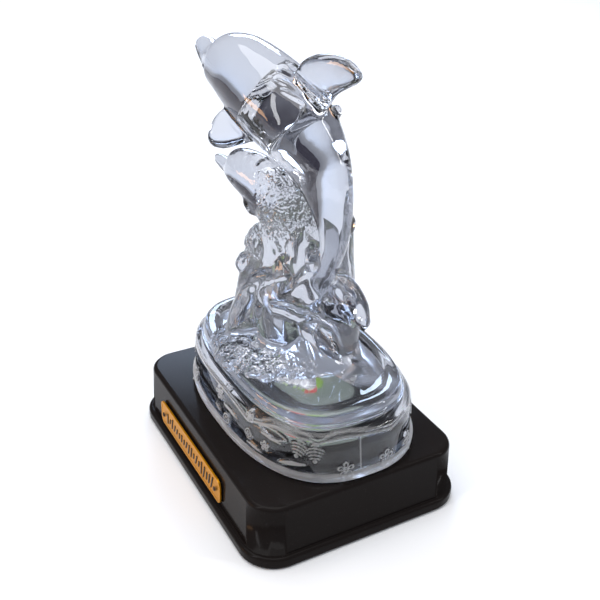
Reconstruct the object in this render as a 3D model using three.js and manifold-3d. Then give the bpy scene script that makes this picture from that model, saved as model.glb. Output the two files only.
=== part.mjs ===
// Lighted dolphin statue: a clear cast figure of two leaping dolphins on a breaking wave,
// standing over a light unit on a gloss black plinth with a gold nameplate.
// Millimetres, +Z up. The origin is at the middle of the plinth's underside, X runs along the
// plinth, and the nameplate is on the -Y side.

import * as THREE from "three";
import { mergeVertices } from "three/addons/utils/BufferGeometryUtils.js";
import Module from "manifold-3d";

const wasm = await Module();
wasm.setup();

// Plinth
const FOOT_LENGTH = 104.8;
const FOOT_WIDTH = 81.6;
const FOOT_HEIGHT = 4.4;
const FOOT_ROUND = 1.2;
const FOOT_CORNER = 12.5;
const PLINTH_LENGTH = 99.6;
const PLINTH_WIDTH = 76.4;
const PLINTH_HEIGHT = 22.9;
const PLINTH_CORNER = 10.0;
const PLINTH_EDGE = 1.6;
const PLINTH_DRAFT = 1.2;
const PLINTH_SINK = 1.0;
const CORNER_STEPS = 4;
const EDGE_STEPS = 2;

// Nameplate on the front wall, and its two pins
const FIT_GAP = 0.3;
const PLATE_LENGTH = 53.5;
const PLATE_HEIGHT = 9.8;
const PLATE_THICKNESS = 0.8;
const PLATE_CORNER = 2.6;
const PLATE_CENTRE_X = -4.2;
const PLATE_CENTRE_Z = 11.1;
const PIN_RADIUS = 0.85;
const PIN_INSET = 3.6;
const PIN_PROUD = 0.5;
const PIN_COLLAR = 0.1;
const PIN_GAP = 0.1;

// The clear figure's own measures start at its foot: they are scaled, set down on the plinth
// and leant a little towards the nameplate's side.
const FIGURE_FOOT = 26.3;
const FIGURE_SCALE = 1.0186;
const FIGURE_LEAN = -0.0206;
const FIGURE_REST = PLINTH_HEIGHT + FIT_GAP;

// Clear oval base, open below
const BASE_HALF_LENGTH = 48.0;
const BASE_HALF_WIDTH = 31.9;
const BASE_OFFSET_Y = 1.8;
const BASE_SQUARENESS = 2.5;
const BASE_BOTTOM = FIGURE_FOOT;
const BASE_SHOULDER = 43.6;
const BASE_TOP = 48.8;
const BASE_RECESS = 1.9;
const BASE_WALL = 3.2;
const BASE_DECK = 4.4;
const BASE_SIDES = 40;
const BASE_CORE = 12.0;
const BASE_END_LEAN = 1.8;
const BASE_SIDE_LEAN = 1.6;

// Light unit under the clear base
const PAD_LENGTH = 44.0;
const PAD_WIDTH = 26.0;
const PAD_HEIGHT = 4.0;
const PAD_CORNER = 8.0;
const PAD_EDGE = 0.8;
const PAD_OFFSET_Y = 5.0;
const LED_RADIUS = 2.5;
const LED_COLLAR = 2.6;
const LED_SPACING = 8.0;

// The leap turns a few degrees away from the plinth's long side
const MOTHER_YAW = 11;
const CALF_YAW = 17;
const CALF_SIDE = -1.5;

const degrees = (value) => (value * Math.PI) / 180;
const vector = (x, y, z) => new THREE.Vector3(x, y, z);
const flat = (x, y) => new THREE.Vector2(x, y);

// Solids and their joins

function toSolid(geometry) {
  const bare = geometry.clone();
  bare.deleteAttribute("normal");
  bare.deleteAttribute("uv");
  const shell = mergeVertices(bare, 1e-4);
  return new wasm.Manifold(new wasm.Mesh({
    numProp: 3,
    vertProperties: new Float32Array(shell.attributes.position.array),
    triVerts: new Uint32Array(shell.index.array),
  }));
}

function fromSolid(solid) {
  const mesh = solid.getMesh();
  const geometry = new THREE.BufferGeometry();
  geometry.setAttribute("position", new THREE.BufferAttribute(mesh.vertProperties, 3));
  geometry.setIndex(new THREE.BufferAttribute(mesh.triVerts, 1));
  geometry.computeVertexNormals();
  return geometry;
}

const joinAll = (geometries) => geometries.map(toSolid).reduce((sum, next) => sum.add(next));

// Moves every vertex of a geometry by a function of its place.
function reshape(geometry, move) {
  const spots = geometry.attributes.position;
  const point = vector(0, 0, 0);
  for (let i = 0; i < spots.count; i += 1) {
    move(point.fromBufferAttribute(spots, i));
    spots.setXYZ(i, point.x, point.y, point.z);
  }
  return geometry;
}

// Turns a geometry's triangles over, after it has been mirrored.
function turnOver(geometry) {
  const loose = geometry.index ? geometry.toNonIndexed() : geometry;
  const spots = loose.attributes.position;
  const a = vector(0, 0, 0);
  const b = vector(0, 0, 0);
  for (let i = 0; i < spots.count; i += 3) {
    a.fromBufferAttribute(spots, i + 1);
    b.fromBufferAttribute(spots, i + 2);
    spots.setXYZ(i + 1, b.x, b.y, b.z);
    spots.setXYZ(i + 2, a.x, a.y, a.z);
  }
  return loose;
}

const mirrored = (geometry) => turnOver(geometry.clone().scale(1, -1, 1));

// A body swept along a spine in the XZ plane, from a sphere whose poles become its two ends.
// Each station is [x, z, half width, height above the spine, depth below it].
function sweptBody(stations, sides, rows) {
  const spine = new THREE.CatmullRomCurve3(stations.map(([x, z]) => vector(x, 0, z)));
  const girth = new THREE.CatmullRomCurve3(stations.map(([, , ...radii]) => vector(...radii)));
  return reshape(new THREE.SphereGeometry(1, sides, rows, Math.PI / 2), (point) => {
    const along = Math.acos(THREE.MathUtils.clamp(point.y, -1, 1)) / Math.PI;
    const reach = Math.hypot(point.x, point.z);
    const open = reach > 1e-6;
    const aside = open ? point.x / reach : 0;
    const lift = open ? point.z / reach : 0;
    const forward = spine.getTangent(along);
    const dorsal = vector(-forward.z, 0, forward.x);
    const radii = girth.getPoint(along);
    point.copy(spine.getPoint(along));
    point.addScaledVector(dorsal, lift * (lift > 0 ? radii.y : radii.z));
    point.y += aside * radii.x;
  });
}

// A thin blade with rounded edges: a smooth flat outline through [u, v] points, thickened.
function blade(outline, thickness, edge) {
  const curve = new THREE.SplineCurve([...outline, outline[0]].map(([u, v]) => flat(u, v)));
  const steps = outline.length * 2;
  const shape = new THREE.Shape(
    Array.from({ length: steps }, (_, i) => curve.getPoint(i / steps)));
  const settings = {
    depth: thickness - 2 * edge,
    bevelThickness: edge,
    bevelSize: edge,
    bevelOffset: -edge,
    bevelSegments: 2,
  };
  return new THREE.ExtrudeGeometry(shape, settings).translate(0, 0, edge - thickness / 2);
}

// Lays a geometry's own X along one direction and its Y as near another as it can, at a place.
function lay(geometry, place, along, across) {
  const x = along.clone().normalize();
  const z = x.clone().cross(across).normalize();
  const y = z.clone().cross(x);
  return geometry.applyMatrix4(new THREE.Matrix4().makeBasis(x, y, z).setPosition(place));
}

// Plinth

function roundedRectangle(length, width, corner) {
  const shape = new THREE.Shape();
  const x = length / 2 - corner;
  const y = width / 2 - corner;
  shape.absarc(x, y, corner, 0, degrees(90));
  shape.absarc(-x, y, corner, degrees(90), degrees(180));
  shape.absarc(-x, -y, corner, degrees(180), degrees(270));
  shape.absarc(x, -y, corner, degrees(270), degrees(360));
  return shape;
}

// A block with rounded upright corners and rounded top and bottom edges, standing on z = 0.
function roundedBlock(length, width, height, corner, edge) {
  const settings = {
    depth: height - 2 * edge,
    bevelThickness: edge,
    bevelSize: edge,
    bevelOffset: -edge,
    bevelSegments: EDGE_STEPS,
    curveSegments: CORNER_STEPS,
  };
  const shape = roundedRectangle(length, width, corner);
  return new THREE.ExtrudeGeometry(shape, settings).translate(0, 0, edge);
}

const plinthLean = (z) => 1 + (PLINTH_DRAFT / PLINTH_WIDTH) * (1 - z / PLINTH_HEIGHT);

function plinth() {
  const foot = roundedBlock(FOOT_LENGTH, FOOT_WIDTH, FOOT_HEIGHT, FOOT_CORNER, FOOT_ROUND);
  const body = roundedBlock(
    PLINTH_LENGTH, PLINTH_WIDTH, PLINTH_HEIGHT - PLINTH_SINK, PLINTH_CORNER, PLINTH_EDGE);
  reshape(body.translate(0, 0, PLINTH_SINK), (point) => {
    point.x *= plinthLean(point.z);
    point.y *= plinthLean(point.z);
  });
  return fromSolid(joinAll([foot, body]));
}

// Nameplate and pins, upright in front of the plinth's leaning wall

const PLATE_BACK_Y =
  -(PLINTH_WIDTH / 2) * plinthLean(PLATE_CENTRE_Z - PLATE_HEIGHT / 2) - FIT_GAP;

function nameplate() {
  const shape = roundedRectangle(PLATE_LENGTH, PLATE_HEIGHT, PLATE_CORNER);
  const settings = { depth: PLATE_THICKNESS, bevelEnabled: false, curveSegments: 3 };
  const plate = new THREE.ExtrudeGeometry(shape, settings);
  return plate.rotateX(degrees(90)).translate(PLATE_CENTRE_X, PLATE_BACK_Y, PLATE_CENTRE_Z);
}

// A round button with a domed head, its flat back on y = 0 and its head towards +Y.
function button(radius, proud, collar, steps, sides) {
  const profile = [flat(0, 0), flat(radius, 0)];
  for (let i = 0; i <= steps; i += 1) {
    const turn = degrees((90 * i) / steps);
    profile.push(flat(radius * Math.cos(turn), collar + proud * Math.sin(turn)));
  }
  profile[profile.length - 1].x = 0;
  return new THREE.LatheGeometry(profile, sides);
}

// Light unit

const padTop = FIGURE_REST + PAD_HEIGHT;

function lightPad() {
  const pad = roundedBlock(PAD_LENGTH, PAD_WIDTH, PAD_HEIGHT, PAD_CORNER, PAD_EDGE);
  return pad.translate(0, PAD_OFFSET_Y, FIGURE_REST);
}

// Clear oval base: a profile of [inset from the outline, z], turned round a squared oval

function ovalBase() {
  const deck = BASE_TOP - BASE_RECESS;
  const roof = deck - BASE_DECK;
  const radius = BASE_HALF_WIDTH;
  const profile = [
    [radius, roof],
    [BASE_WALL + 1.6, roof],
    [BASE_WALL, roof - 1.6],
    [BASE_WALL - 0.7, BASE_BOTTOM],
    [0.5, BASE_BOTTOM],
    [0, BASE_BOTTOM + 0.7],
    [0.1, BASE_BOTTOM + 2.3],
    [0.8, BASE_BOTTOM + 3.1],
    [1.5, BASE_SHOULDER - 0.9],
    [2.2, BASE_SHOULDER],
    [2.9, BASE_SHOULDER + 0.5],
    [3.3, BASE_TOP - 1.3],
    [3.9, BASE_TOP - 0.3],
    [4.9, BASE_TOP],
    [6.2, BASE_TOP - 0.3],
    [7.0, deck + 0.5],
    [8.2, deck],
    [radius, deck],
  ].map(([inset, z]) => flat(radius - inset, z));
  const turned = new THREE.LatheGeometry(profile, BASE_SIDES).rotateX(degrees(90));
  return reshape(turned, (point) => {
    const reach = Math.hypot(point.x, point.y);
    if (reach < 1e-6) return;
    const inset = radius - reach;
    const power = 2 / (BASE_SQUARENESS + 0.1 * Math.min(inset, 6));
    const squared = (value) => Math.sign(value) * Math.abs(value) ** power;
    const fade = reach < BASE_CORE ? reach / BASE_CORE : 1;
    const held = Math.min(inset, radius - BASE_CORE);
    point.x = squared(point.x / reach) * (BASE_HALF_LENGTH - BASE_END_LEAN * held) * fade;
    point.y = squared(point.y / reach) * (BASE_HALF_WIDTH - BASE_SIDE_LEAN * held) * fade;
  }).translate(0, BASE_OFFSET_Y, 0);
}

// Dolphins

function dorsalFin() {
  const outline = [
    [0.5, 141.5], [4.2, 147.4], [9.5, 150.6], [15.6, 152.2], [21.4, 152.4], [26.0, 151.2],
    [28.9, 149.0], [27.8, 146.8], [23.2, 144.0], [18.4, 140.8], [14.6, 136.0], [9.0, 129.0],
    [1.0, 132.0],
  ];
  const fin = blade(outline, 3.6, 1.2).rotateX(degrees(90));
  return reshape(fin, (point) => {
    point.y *= THREE.MathUtils.mapLinear(point.x, 0, 30, 1.35, 0.8);
  });
}

function flipper() {
  const outline = [
    [-7.6, -3.0], [-7.9, 2.6], [-6.4, 6.4], [-3.8, 9.6], [-1.0, 12.0], [2.2, 12.0],
    [4.6, 9.4], [5.6, 6.0], [6.6, 1.0], [6.8, -3.0],
  ];
  const plate = blade(outline, 3.0, 1.0);
  return lay(plate, vector(-14.9, -8.2, 125.2), vector(0.87, 0, -0.5), vector(-0.9, -12, -4.4));
}

function mother() {
  const stations = [
    [-48.6, 143.7, 0.3, 0.3, 0.3],
    [-47.8, 143.1, 2.6, 2.6, 2.6],
    [-45.2, 141.6, 3.8, 3.8, 3.6],
    [-42.5, 140.4, 4.6, 4.4, 4.6],
    [-39.5, 139.6, 5.8, 5.2, 5.8],
    [-36.6, 139.2, 7.4, 6.6, 7.0],
    [-33.6, 138.9, 9.2, 9.6, 8.7],
    [-25.0, 138.0, 11.5, 11.9, 11.4],
    [-15.8, 135.2, 12.7, 13.0, 13.0],
    [-6.0, 131.4, 13.1, 13.6, 13.5],
    [2.6, 126.6, 12.1, 12.9, 12.3],
    [10.2, 120.4, 10.0, 10.9, 10.2],
    [14.6, 114.1, 8.2, 9.2, 8.2],
    [17.5, 107.5, 6.5, 7.4, 6.6],
    [19.0, 100.8, 5.0, 5.8, 5.2],
    [18.8, 94.0, 3.9, 4.6, 4.2],
    [16.8, 86.5, 3.6, 3.4, 3.6],
    [14.6, 79.5, 3.4, 2.6, 2.8],
    [13.6, 75.0, 0.3, 0.3, 0.3],
  ];
  const near = flipper();
  const pieces = [sweptBody(stations, 16, 28), dorsalFin(), near, mirrored(near)];
  return pieces.map((piece) => piece.rotateZ(degrees(MOTHER_YAW)));
}

function calf() {
  const stations = [
    [-35.4, 108.4, 0.3, 0.3, 0.3],
    [-34.6, 108.2, 1.5, 1.5, 1.6],
    [-31.4, 107.5, 2.3, 2.0, 2.3],
    [-28.4, 107.0, 3.0, 2.3, 3.1],
    [-26.6, 106.9, 4.2, 4.6, 4.0],
    [-24.4, 107.0, 5.4, 7.0, 5.0],
    [-20.0, 106.6, 6.6, 8.6, 6.2],
    [-14.5, 104.8, 7.2, 10.2, 6.8],
    [-9.5, 101.0, 7.2, 11.2, 6.6],
    [-6.0, 95.0, 5.8, 8.6, 5.4],
    [-5.0, 88.0, 0.4, 0.4, 0.4],
  ];
  const outline = [
    [-3.8, -2.0], [-4.2, 0.6], [-3.0, 2.8], [0, 4.0], [2.8, 3.8], [3.8, 2.0], [3.6, -2.0],
  ];
  const plate = blade(outline, 3.2, 1.1);
  const near = lay(plate, vector(-11.8, -4.2, 100.6), vector(0.85, 0, -0.52), vector(2.5, -3, -5.5));
  const pieces = [sweptBody(stations, 12, 18), near, mirrored(near)];
  return pieces.map((piece) => piece.translate(0, CALF_SIDE, 0).rotateZ(degrees(CALF_YAW)));
}

// Flukes of the mother, hanging against the wave
function flukes() {
  const half = [[3.0, -4.0], [5.2, 2.0], [8.4, 6.6], [11.8, 11.2], [8.8, 15.0], [4.0, 16.4]];
  const other = half.map(([u, v]) => [-u, v]).reverse();
  const plate = blade([...half, [0, 15.0], ...other], 4.2, 1.3);
  reshape(plate, (point) => {
    point.z -= 0.028 * point.x * point.x;
  });
  return lay(plate, vector(14.6, 1.2, 85.4), vector(0.46, 0.89, 0), vector(-0.48, -0.14, -0.86));
}

// Wave: a core of hanging folds with tongues of water round it, then crests, drops and foam

const CORE_SECTIONS = [
  [44.6, -3.4, 2.0, 23.0],
  [48.0, -3.4, 2.0, 22.2],
  [53.0, -3.6, 2.0, 18.6],
  [60.0, -3.8, 1.8, 15.4],
  [68.0, -4.0, 1.4, 13.0],
  [78.0, -4.0, 1.0, 11.4],
  [88.0, -4.0, 0.6, 10.4],
  [97.0, -4.2, 0.4, 9.6],
  [103.5, -4.6, 0.2, 7.8],
  [107.5, -4.8, 0.0, 3.6],
];
const coreAxis = new THREE.CatmullRomCurve3(CORE_SECTIONS.map(([z, x, y]) => vector(x, y, z)));
const coreGirth = new THREE.CatmullRomCurve3(
  CORE_SECTIONS.map(([z, , , radius]) => vector(radius, 0, z)));
const FOLDS = 9;
const FOLD_DEPTH = 0.17;
const FOLD_TWIST = 0.9;

function foldShare(turn, high) {
  const valley = 1 - Math.abs(Math.sin((FOLDS * turn) / 2 + FOLD_TWIST * Math.sin(3 * high)));
  const fade = Math.sin(Math.PI * Math.min(1, 0.22 + high));
  return 1 - FOLD_DEPTH * fade * valley * valley + 0.05 * Math.sin(2 * turn + 4 * high);
}

function core() {
  const bar = new THREE.CylinderGeometry(1, 1, 1, 32, 10).rotateX(degrees(90));
  return reshape(bar, (point) => {
    const high = point.z + 0.5;
    const reach = Math.hypot(point.x, point.y);
    const turn = Math.atan2(point.y, point.x);
    const axis = coreAxis.getPoint(high);
    const radius = coreGirth.getPoint(high).x * foldShare(turn, high) * reach;
    point.set(axis.x + radius * Math.cos(turn), axis.y + radius * Math.sin(turn), axis.z);
  });
}

// A tongue of water along a path of [x, y, z, radius] places, rounded off at both ends.
// Its section is flattened towards the core's axis, and ridged along its outer side.
function tongue(path, sides, rows, flatness = 1, ridge = 0) {
  const line = new THREE.CatmullRomCurve3(path.map(([x, y, z]) => vector(x, y, z)));
  const girth = new THREE.CatmullRomCurve3(path.map(([, , z, radius]) => vector(radius, 0, z)));
  return reshape(new THREE.SphereGeometry(1, sides, rows), (point) => {
    const along = 1 - Math.acos(THREE.MathUtils.clamp(point.y, -1, 1)) / Math.PI;
    const reach = Math.hypot(point.x, point.z);
    const turn = Math.atan2(point.z, point.x);
    const centre = line.getPoint(along);
    const up = line.getTangent(along);
    const away = vector(centre.x + 4, centre.y - 1, 0);
    const out = away.addScaledVector(up, -away.dot(up)).normalize();
    const aside = up.clone().cross(out);
    const cap = Math.min(1, reach * 2.2);
    const radius = girth.getPoint(along).x * cap * (1 + ridge * Math.cos(3 * turn));
    point.copy(centre);
    point.addScaledVector(out, radius * flatness * Math.cos(turn));
    point.addScaledVector(aside, -radius * Math.sin(turn));
  });
}

// A rounded lump with a few shallow dents.
function lump(place, radii, dent) {
  const stone = new THREE.IcosahedronGeometry(1, 2);
  reshape(stone, (point) => {
    const across = Math.sin(5 * point.x + 2 * point.z) * Math.sin(4 * point.y + 1);
    point.multiplyScalar(1 + dent * across * Math.cos(5 * point.z));
  });
  return stone.scale(...radii).translate(...place);
}

function tongues() {
  return [
    // the near wave on the left, up to its curled head
    tongue([[-12.5, -12, 43.5, 7], [-12, -11.6, 52, 7.8], [-10.6, -10, 64, 6.4],
      [-9.8, -8.4, 75, 5.8], [-8.8, -6.8, 84, 5.4], [-8, -5.6, 92, 4.2]], 12, 14, 0.95, 0.06),
    // the front wave, up to a point beside the tail
    tongue([[2, -6, 50, 5], [3, -6, 60, 9.6], [4, -4.8, 72, 8.4], [5.4, -3, 82, 6],
      [6.8, -1.4, 91, 3.6], [7.8, 0, 99, 1.2]], 12, 14, 0.8, 0.08),
    // the wave behind the tail
    tongue([[9, 11, 43.5, 7], [8.4, 12, 54, 8.4], [5.6, 13.2, 68, 6.8], [3.6, 14, 82, 6.2],
      [3.8, 14.6, 93, 4.8], [4.8, 15, 103, 1.6]], 12, 12, 0.9, 0.06),
    // two on the far side
    tongue([[-17, 8, 43.5, 7], [-16, 8, 56, 8], [-14, 7, 72, 6.6], [-13, 5.4, 86, 6.4],
      [-12, 4, 98, 3.2]], 10, 10, 0.9, 0.08),
    tongue([[-4, 20, 43.5, 7], [-5, 17, 56, 7.8], [-6, 13.6, 72, 6.4], [-6, 11, 86, 5],
      [-5, 9, 97, 1.8]], 10, 10, 0.9, 0.08),
  ];
}

function waveForms() {
  const leaf = blade([
    [-10, 0], [-6, 3], [0, 4], [5.6, 2.8], [10, 0], [5.6, -2.4], [0, -3.4], [-6, -2.8],
  ], 3.6, 1.2);
  return [
    // a thin crest that falls from the front wave to the foot on the left
    tongue([[-11, -21, 49, 1.6], [-8.8, -16.6, 63, 2], [-6, -12, 73, 2.2], [0.6, -8.8, 78.6, 2.2],
      [8, -4.4, 83, 1.2]], 6, 12),
    // a wing of water behind the tail, turned down at its end
    tongue([[10, 9.5, 79, 2.4], [13.6, 12.4, 75.5, 3.6], [17.2, 14.2, 70.5, 3.8],
      [20.4, 14.6, 65.5, 3.2], [21.8, 14.2, 61.5, 1.6]], 10, 10, 0.8),
    lay(leaf, vector(15.6, 0.8, 59.6), vector(12.2, 8.9, -11.4), vector(0.6, 0.2, 0.5)),
    lump([-8.7, -6.6, 86.0], [6.2, 6.2, 6.6], 0.06),
    lump([-12.2, -10.6, 77.4], [4.4, 4.4, 4.2], 0.04),
    lump([-5.0, -3.6, 99.0], [7.0, 7.0, 7.4], 0.06),
    lump([8.0, 2.0, 87.0], [3.8, 4.4, 5.6], 0),
  ];
}

// Foam round the front foot of the wave: a low lumpy mound with beads along its edge
function foam() {
  const mound = new THREE.SphereGeometry(1, 24, 8);
  reshape(mound, (point) => {
    const swell = Math.abs(Math.sin(4.2 * point.x + 1) * Math.cos(4.6 * point.z + 2 * point.x));
    point.multiplyScalar(1 + 0.1 * swell);
  });
  const mounds = [mound.rotateX(degrees(90)).scale(17, 10, 5.4).translate(-4, -14.4, 48.6)];
  const count = 8;
  for (let i = 0; i < count; i += 1) {
    const turn = degrees(205 + (140 * i) / (count - 1));
    const bead = new THREE.IcosahedronGeometry(3.2 + 0.5 * Math.sin(2.3 * i), 1);
    mounds.push(bead.translate(
      -4 + 16 * Math.cos(turn), -14 + 9.6 * Math.sin(turn), 47.8 + 0.5 * Math.cos(1.9 * i)));
  }
  return mounds;
}

function figure() {
  const water = [core(), ...tongues(), ...waveForms(), ...foam()];
  const pieces = [ovalBase(), ...water, ...mother(), ...calf(), flukes()];
  return reshape(fromSolid(joinAll(pieces)), (point) => {
    const rise = (point.z - FIGURE_FOOT) * FIGURE_SCALE;
    point.multiplyScalar(FIGURE_SCALE);
    point.y += FIGURE_LEAN * rise;
    point.z = FIGURE_REST + rise;
  });
}

// Assembly

const finish = (color, roughness, metalness, more = {}) =>
  new THREE.MeshStandardMaterial({ color, roughness, metalness, ...more });

const clear = finish(0xccd6e4, 0.04, 0, { transparent: true, opacity: 0.35 });
const black = finish(0x0d0f12, 0.14, 0);
const gold = finish(0xc08a22, 0.32, 0.85);
const darkSteel = finish(0x3a2a18, 0.4, 0.7);
const paleGreen = finish(0xb9c4ba, 0.5, 0);
const redLens = finish(0xe0313a, 0.2, 0);
const greenLens = finish(0xb8d83a, 0.2, 0);

function part(name, geometry, material, x = 0, y = 0, z = 0) {
  const mesh = new THREE.Mesh(geometry, material);
  mesh.name = name;
  mesh.position.set(x, y, z);
  return mesh;
}

const statue = new THREE.Group();
statue.add(part("plinth", plinth(), black));
statue.add(part("nameplate", nameplate(), gold));
for (const [name, side] of [["plate_pin_left", -1], ["plate_pin_right", 1]]) {
  const pin = button(PIN_RADIUS, PIN_PROUD, PIN_COLLAR, 2, 8).rotateX(degrees(180));
  const face = PLATE_BACK_Y - PLATE_THICKNESS - PIN_GAP;
  const x = PLATE_CENTRE_X + side * (PLATE_LENGTH / 2 - PIN_INSET);
  statue.add(part(name, pin, darkSteel, x, face, PLATE_CENTRE_Z));
}
statue.add(part("light_pad", lightPad(), paleGreen));
for (const [name, place, lens] of [
  ["led_green_left", -1, greenLens],
  ["led_red", 0, redLens],
  ["led_green_right", 1, greenLens],
]) {
  const led = button(LED_RADIUS, LED_RADIUS, LED_COLLAR, 3, 10).rotateX(degrees(90));
  statue.add(part(name, led, lens, place * LED_SPACING, PAD_OFFSET_Y, padTop + FIT_GAP));
}
statue.add(part("clear_figure", figure(), clear));

export default statue;
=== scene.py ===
"""Lighted dolphin statue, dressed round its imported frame.

A clear casting of a large dolphin and its calf leaping from a wave stands over a small light
unit on a gloss black plinth with a gold plate. The casting's own measures are millimetres from
its foot, as a mould maker would take them, and FigureFrame sets them into the part's frame.
"""

import logging
import math
import random
from collections.abc import Iterable, Sequence
from dataclasses import dataclass, field
from enum import Enum

import bmesh
import bpy
import numpy as np
from mathutils import Matrix, Vector, noise
from mathutils.bvhtree import BVHTree


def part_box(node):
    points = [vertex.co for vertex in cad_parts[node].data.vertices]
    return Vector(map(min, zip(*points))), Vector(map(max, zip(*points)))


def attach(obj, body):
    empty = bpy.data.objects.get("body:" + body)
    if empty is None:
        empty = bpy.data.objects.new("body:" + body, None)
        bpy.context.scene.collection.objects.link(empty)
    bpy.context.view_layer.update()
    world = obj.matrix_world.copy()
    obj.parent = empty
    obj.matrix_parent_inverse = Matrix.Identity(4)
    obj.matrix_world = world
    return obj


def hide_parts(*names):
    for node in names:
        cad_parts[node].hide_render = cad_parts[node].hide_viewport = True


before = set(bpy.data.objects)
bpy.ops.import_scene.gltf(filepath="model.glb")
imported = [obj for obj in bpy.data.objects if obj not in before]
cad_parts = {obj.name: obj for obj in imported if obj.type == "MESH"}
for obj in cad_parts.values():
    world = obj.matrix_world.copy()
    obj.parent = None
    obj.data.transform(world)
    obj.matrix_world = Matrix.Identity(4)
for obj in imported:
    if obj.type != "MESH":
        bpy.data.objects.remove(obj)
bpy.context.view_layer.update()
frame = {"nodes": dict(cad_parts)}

log = logging.getLogger("statue")

MM = 0.001
BODY = "root"
WAVE_AXIS = (-4.0, 1.0)

Point = tuple[float, float, float]
Colour = tuple[float, float, float, float]


class Slot(Enum):
    """The record's material slots."""

    BLACK = "black_plastic"
    GOLD = "gold_plate"
    PIN = "pin_metal"
    PALE = "pale_plastic"
    GREEN = "led_green"
    RED = "led_red"
    CLEAR = "clear_cast"


# Curves


class Curve:
    """A smooth curve through points of any dimension."""

    def __init__(self, points: Sequence[Sequence[float]], closed: bool = False) -> None:
        """Keeps the points.

        Args:
            points: the places the curve runs through.
            closed: whether it runs on from the last point to the first.
        """
        self.points = np.array(points, dtype=float)
        self.closed = closed

    def at(self, shares: np.ndarray) -> np.ndarray:
        """Places on the curve.

        Args:
            shares: how far along, from 0 to 1, one number a place.

        Returns:
            One row a place.
        """
        points, count = self.points, len(self.points)
        spans = count if self.closed else count - 1
        reach = np.clip(np.asarray(shares, dtype=float), 0.0, 1.0) * spans
        index = np.minimum(reach.astype(int), spans - 1)
        part = (reach - index)[:, None]
        if self.closed:
            before, here = points[(index - 1) % count], points[index % count]
            there, after = points[(index + 1) % count], points[(index + 2) % count]
        else:
            here, there = points[index], points[index + 1]
            first, last = 2 * points[0] - points[1], 2 * points[-1] - points[-2]
            before = np.where((index > 0)[:, None], points[np.maximum(index - 1, 0)], first)
            beyond = (index < spans - 1)[:, None]
            after = np.where(beyond, points[np.minimum(index + 2, count - 1)], last)
        gap = [np.sqrt(np.linalg.norm(b - a, axis=1, keepdims=True))
               for a, b in ((before, here), (here, there), (there, after))]
        mid = np.where(gap[1] < 1e-4, 1.0, gap[1])
        low = np.where(gap[0] < 1e-4, mid, gap[0])
        high = np.where(gap[2] < 1e-4, mid, gap[2])
        leave = (here - before) / low - (there - before) / (low + mid) + (there - here) / mid
        arrive = (there - here) / mid - (after - here) / (mid + high) + (after - there) / high
        leave, arrive = leave * mid, arrive * mid
        square = -3 * here + 3 * there - 2 * leave - arrive
        cube = 2 * here - 2 * there + leave + arrive
        return here + part * (leave + part * (square + part * cube))

    def heading(self, shares: np.ndarray) -> np.ndarray:
        """Unit directions of the curve at shares of its length."""
        step = 1e-4
        span = self.at(np.clip(shares + step, 0, 1)) - self.at(np.clip(shares - step, 0, 1))
        return span / np.linalg.norm(span, axis=1, keepdims=True)


def smoothstep(low: float, high: float, values: np.ndarray) -> np.ndarray:
    """A soft step from 0 at low to 1 at high."""
    share = np.clip((values - low) / (high - low), 0.0, 1.0)
    return share * share * (3.0 - 2.0 * share)


def bump(distance: np.ndarray, width: float) -> np.ndarray:
    """A rounded ridge profile: 1 at distance 0, and 0 at width and beyond."""
    share = np.clip(distance / width, 0.0, 1.0)
    return (1.0 - share * share) ** 2


# Meshes


def coords(bm: bmesh.types.BMesh) -> np.ndarray:
    """The places of a bmesh's vertices, one row each."""
    return np.array([vert.co for vert in bm.verts])


def place(bm: bmesh.types.BMesh, points: np.ndarray) -> bmesh.types.BMesh:
    """Moves a bmesh's vertices to new places, one row each."""
    for vert, point in zip(bm.verts, points):
        vert.co = point
    return bm


def ball(sides: int, rows: int) -> tuple[bmesh.types.BMesh, np.ndarray, np.ndarray, np.ndarray]:
    """A unit ball to be reshaped.

    Args:
        sides: faces round its waist.
        rows: faces from pole to pole.

    Returns:
        The bmesh, and for each vertex how far it is from the first pole (0 to 1), its turn round
        the poles in radians, and its reach from the line through them (0 to 1).
    """
    bm = bmesh.new()
    bmesh.ops.create_uvsphere(bm, u_segments=sides, v_segments=rows, radius=1.0)
    points = coords(bm)
    along = np.arccos(np.clip(points[:, 2], -1, 1)) / math.pi
    turn = np.arctan2(points[:, 1], points[:, 0])
    return bm, along, turn, np.hypot(points[:, 0], points[:, 1])


def outward(bm: bmesh.types.BMesh) -> bmesh.types.BMesh:
    """Merges doubled vertices and turns the faces outwards."""
    bmesh.ops.remove_doubles(bm, verts=bm.verts, dist=1e-5)
    bmesh.ops.recalc_face_normals(bm, faces=bm.faces)
    return bm


def gather(pieces: Iterable[bmesh.types.BMesh]) -> bmesh.types.BMesh:
    """Puts several bmeshes into one and frees them."""
    whole = bmesh.new()
    for bm in pieces:
        mesh = bpy.data.meshes.new("loose")
        outward(bm).to_mesh(mesh)
        bm.free()
        whole.from_mesh(mesh)
        bpy.data.meshes.remove(mesh)
    return whole


def lay(bm: bmesh.types.BMesh, spot: Point, along: Point, across: Point) -> bmesh.types.BMesh:
    """Lays a bmesh's own X along one direction and its Y as near another as it can, at a spot."""
    x = Vector(along).normalized()
    z = x.cross(Vector(across)).normalized()
    turn = Matrix((x, z.cross(x), z)).transposed().to_4x4()
    bmesh.ops.transform(bm, matrix=Matrix.Translation(spot) @ turn, verts=bm.verts)
    return bm


def to_object(name: str, bm: bmesh.types.BMesh, shine: bool = True) -> bpy.types.Object:
    """Makes an object of a bmesh, at the origin, and frees the bmesh.

    Args:
        name: the object's name.
        bm: its shape, in metres.
        shine: whether its faces are shaded smooth.

    Returns:
        The new object.
    """
    mesh = bpy.data.meshes.new(name)
    bm.to_mesh(mesh)
    bm.free()
    mesh.polygons.foreach_set("use_smooth", [shine] * len(mesh.polygons))
    thing = bpy.data.objects.new(name, mesh)
    bpy.context.scene.collection.objects.link(thing)
    return thing


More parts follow.
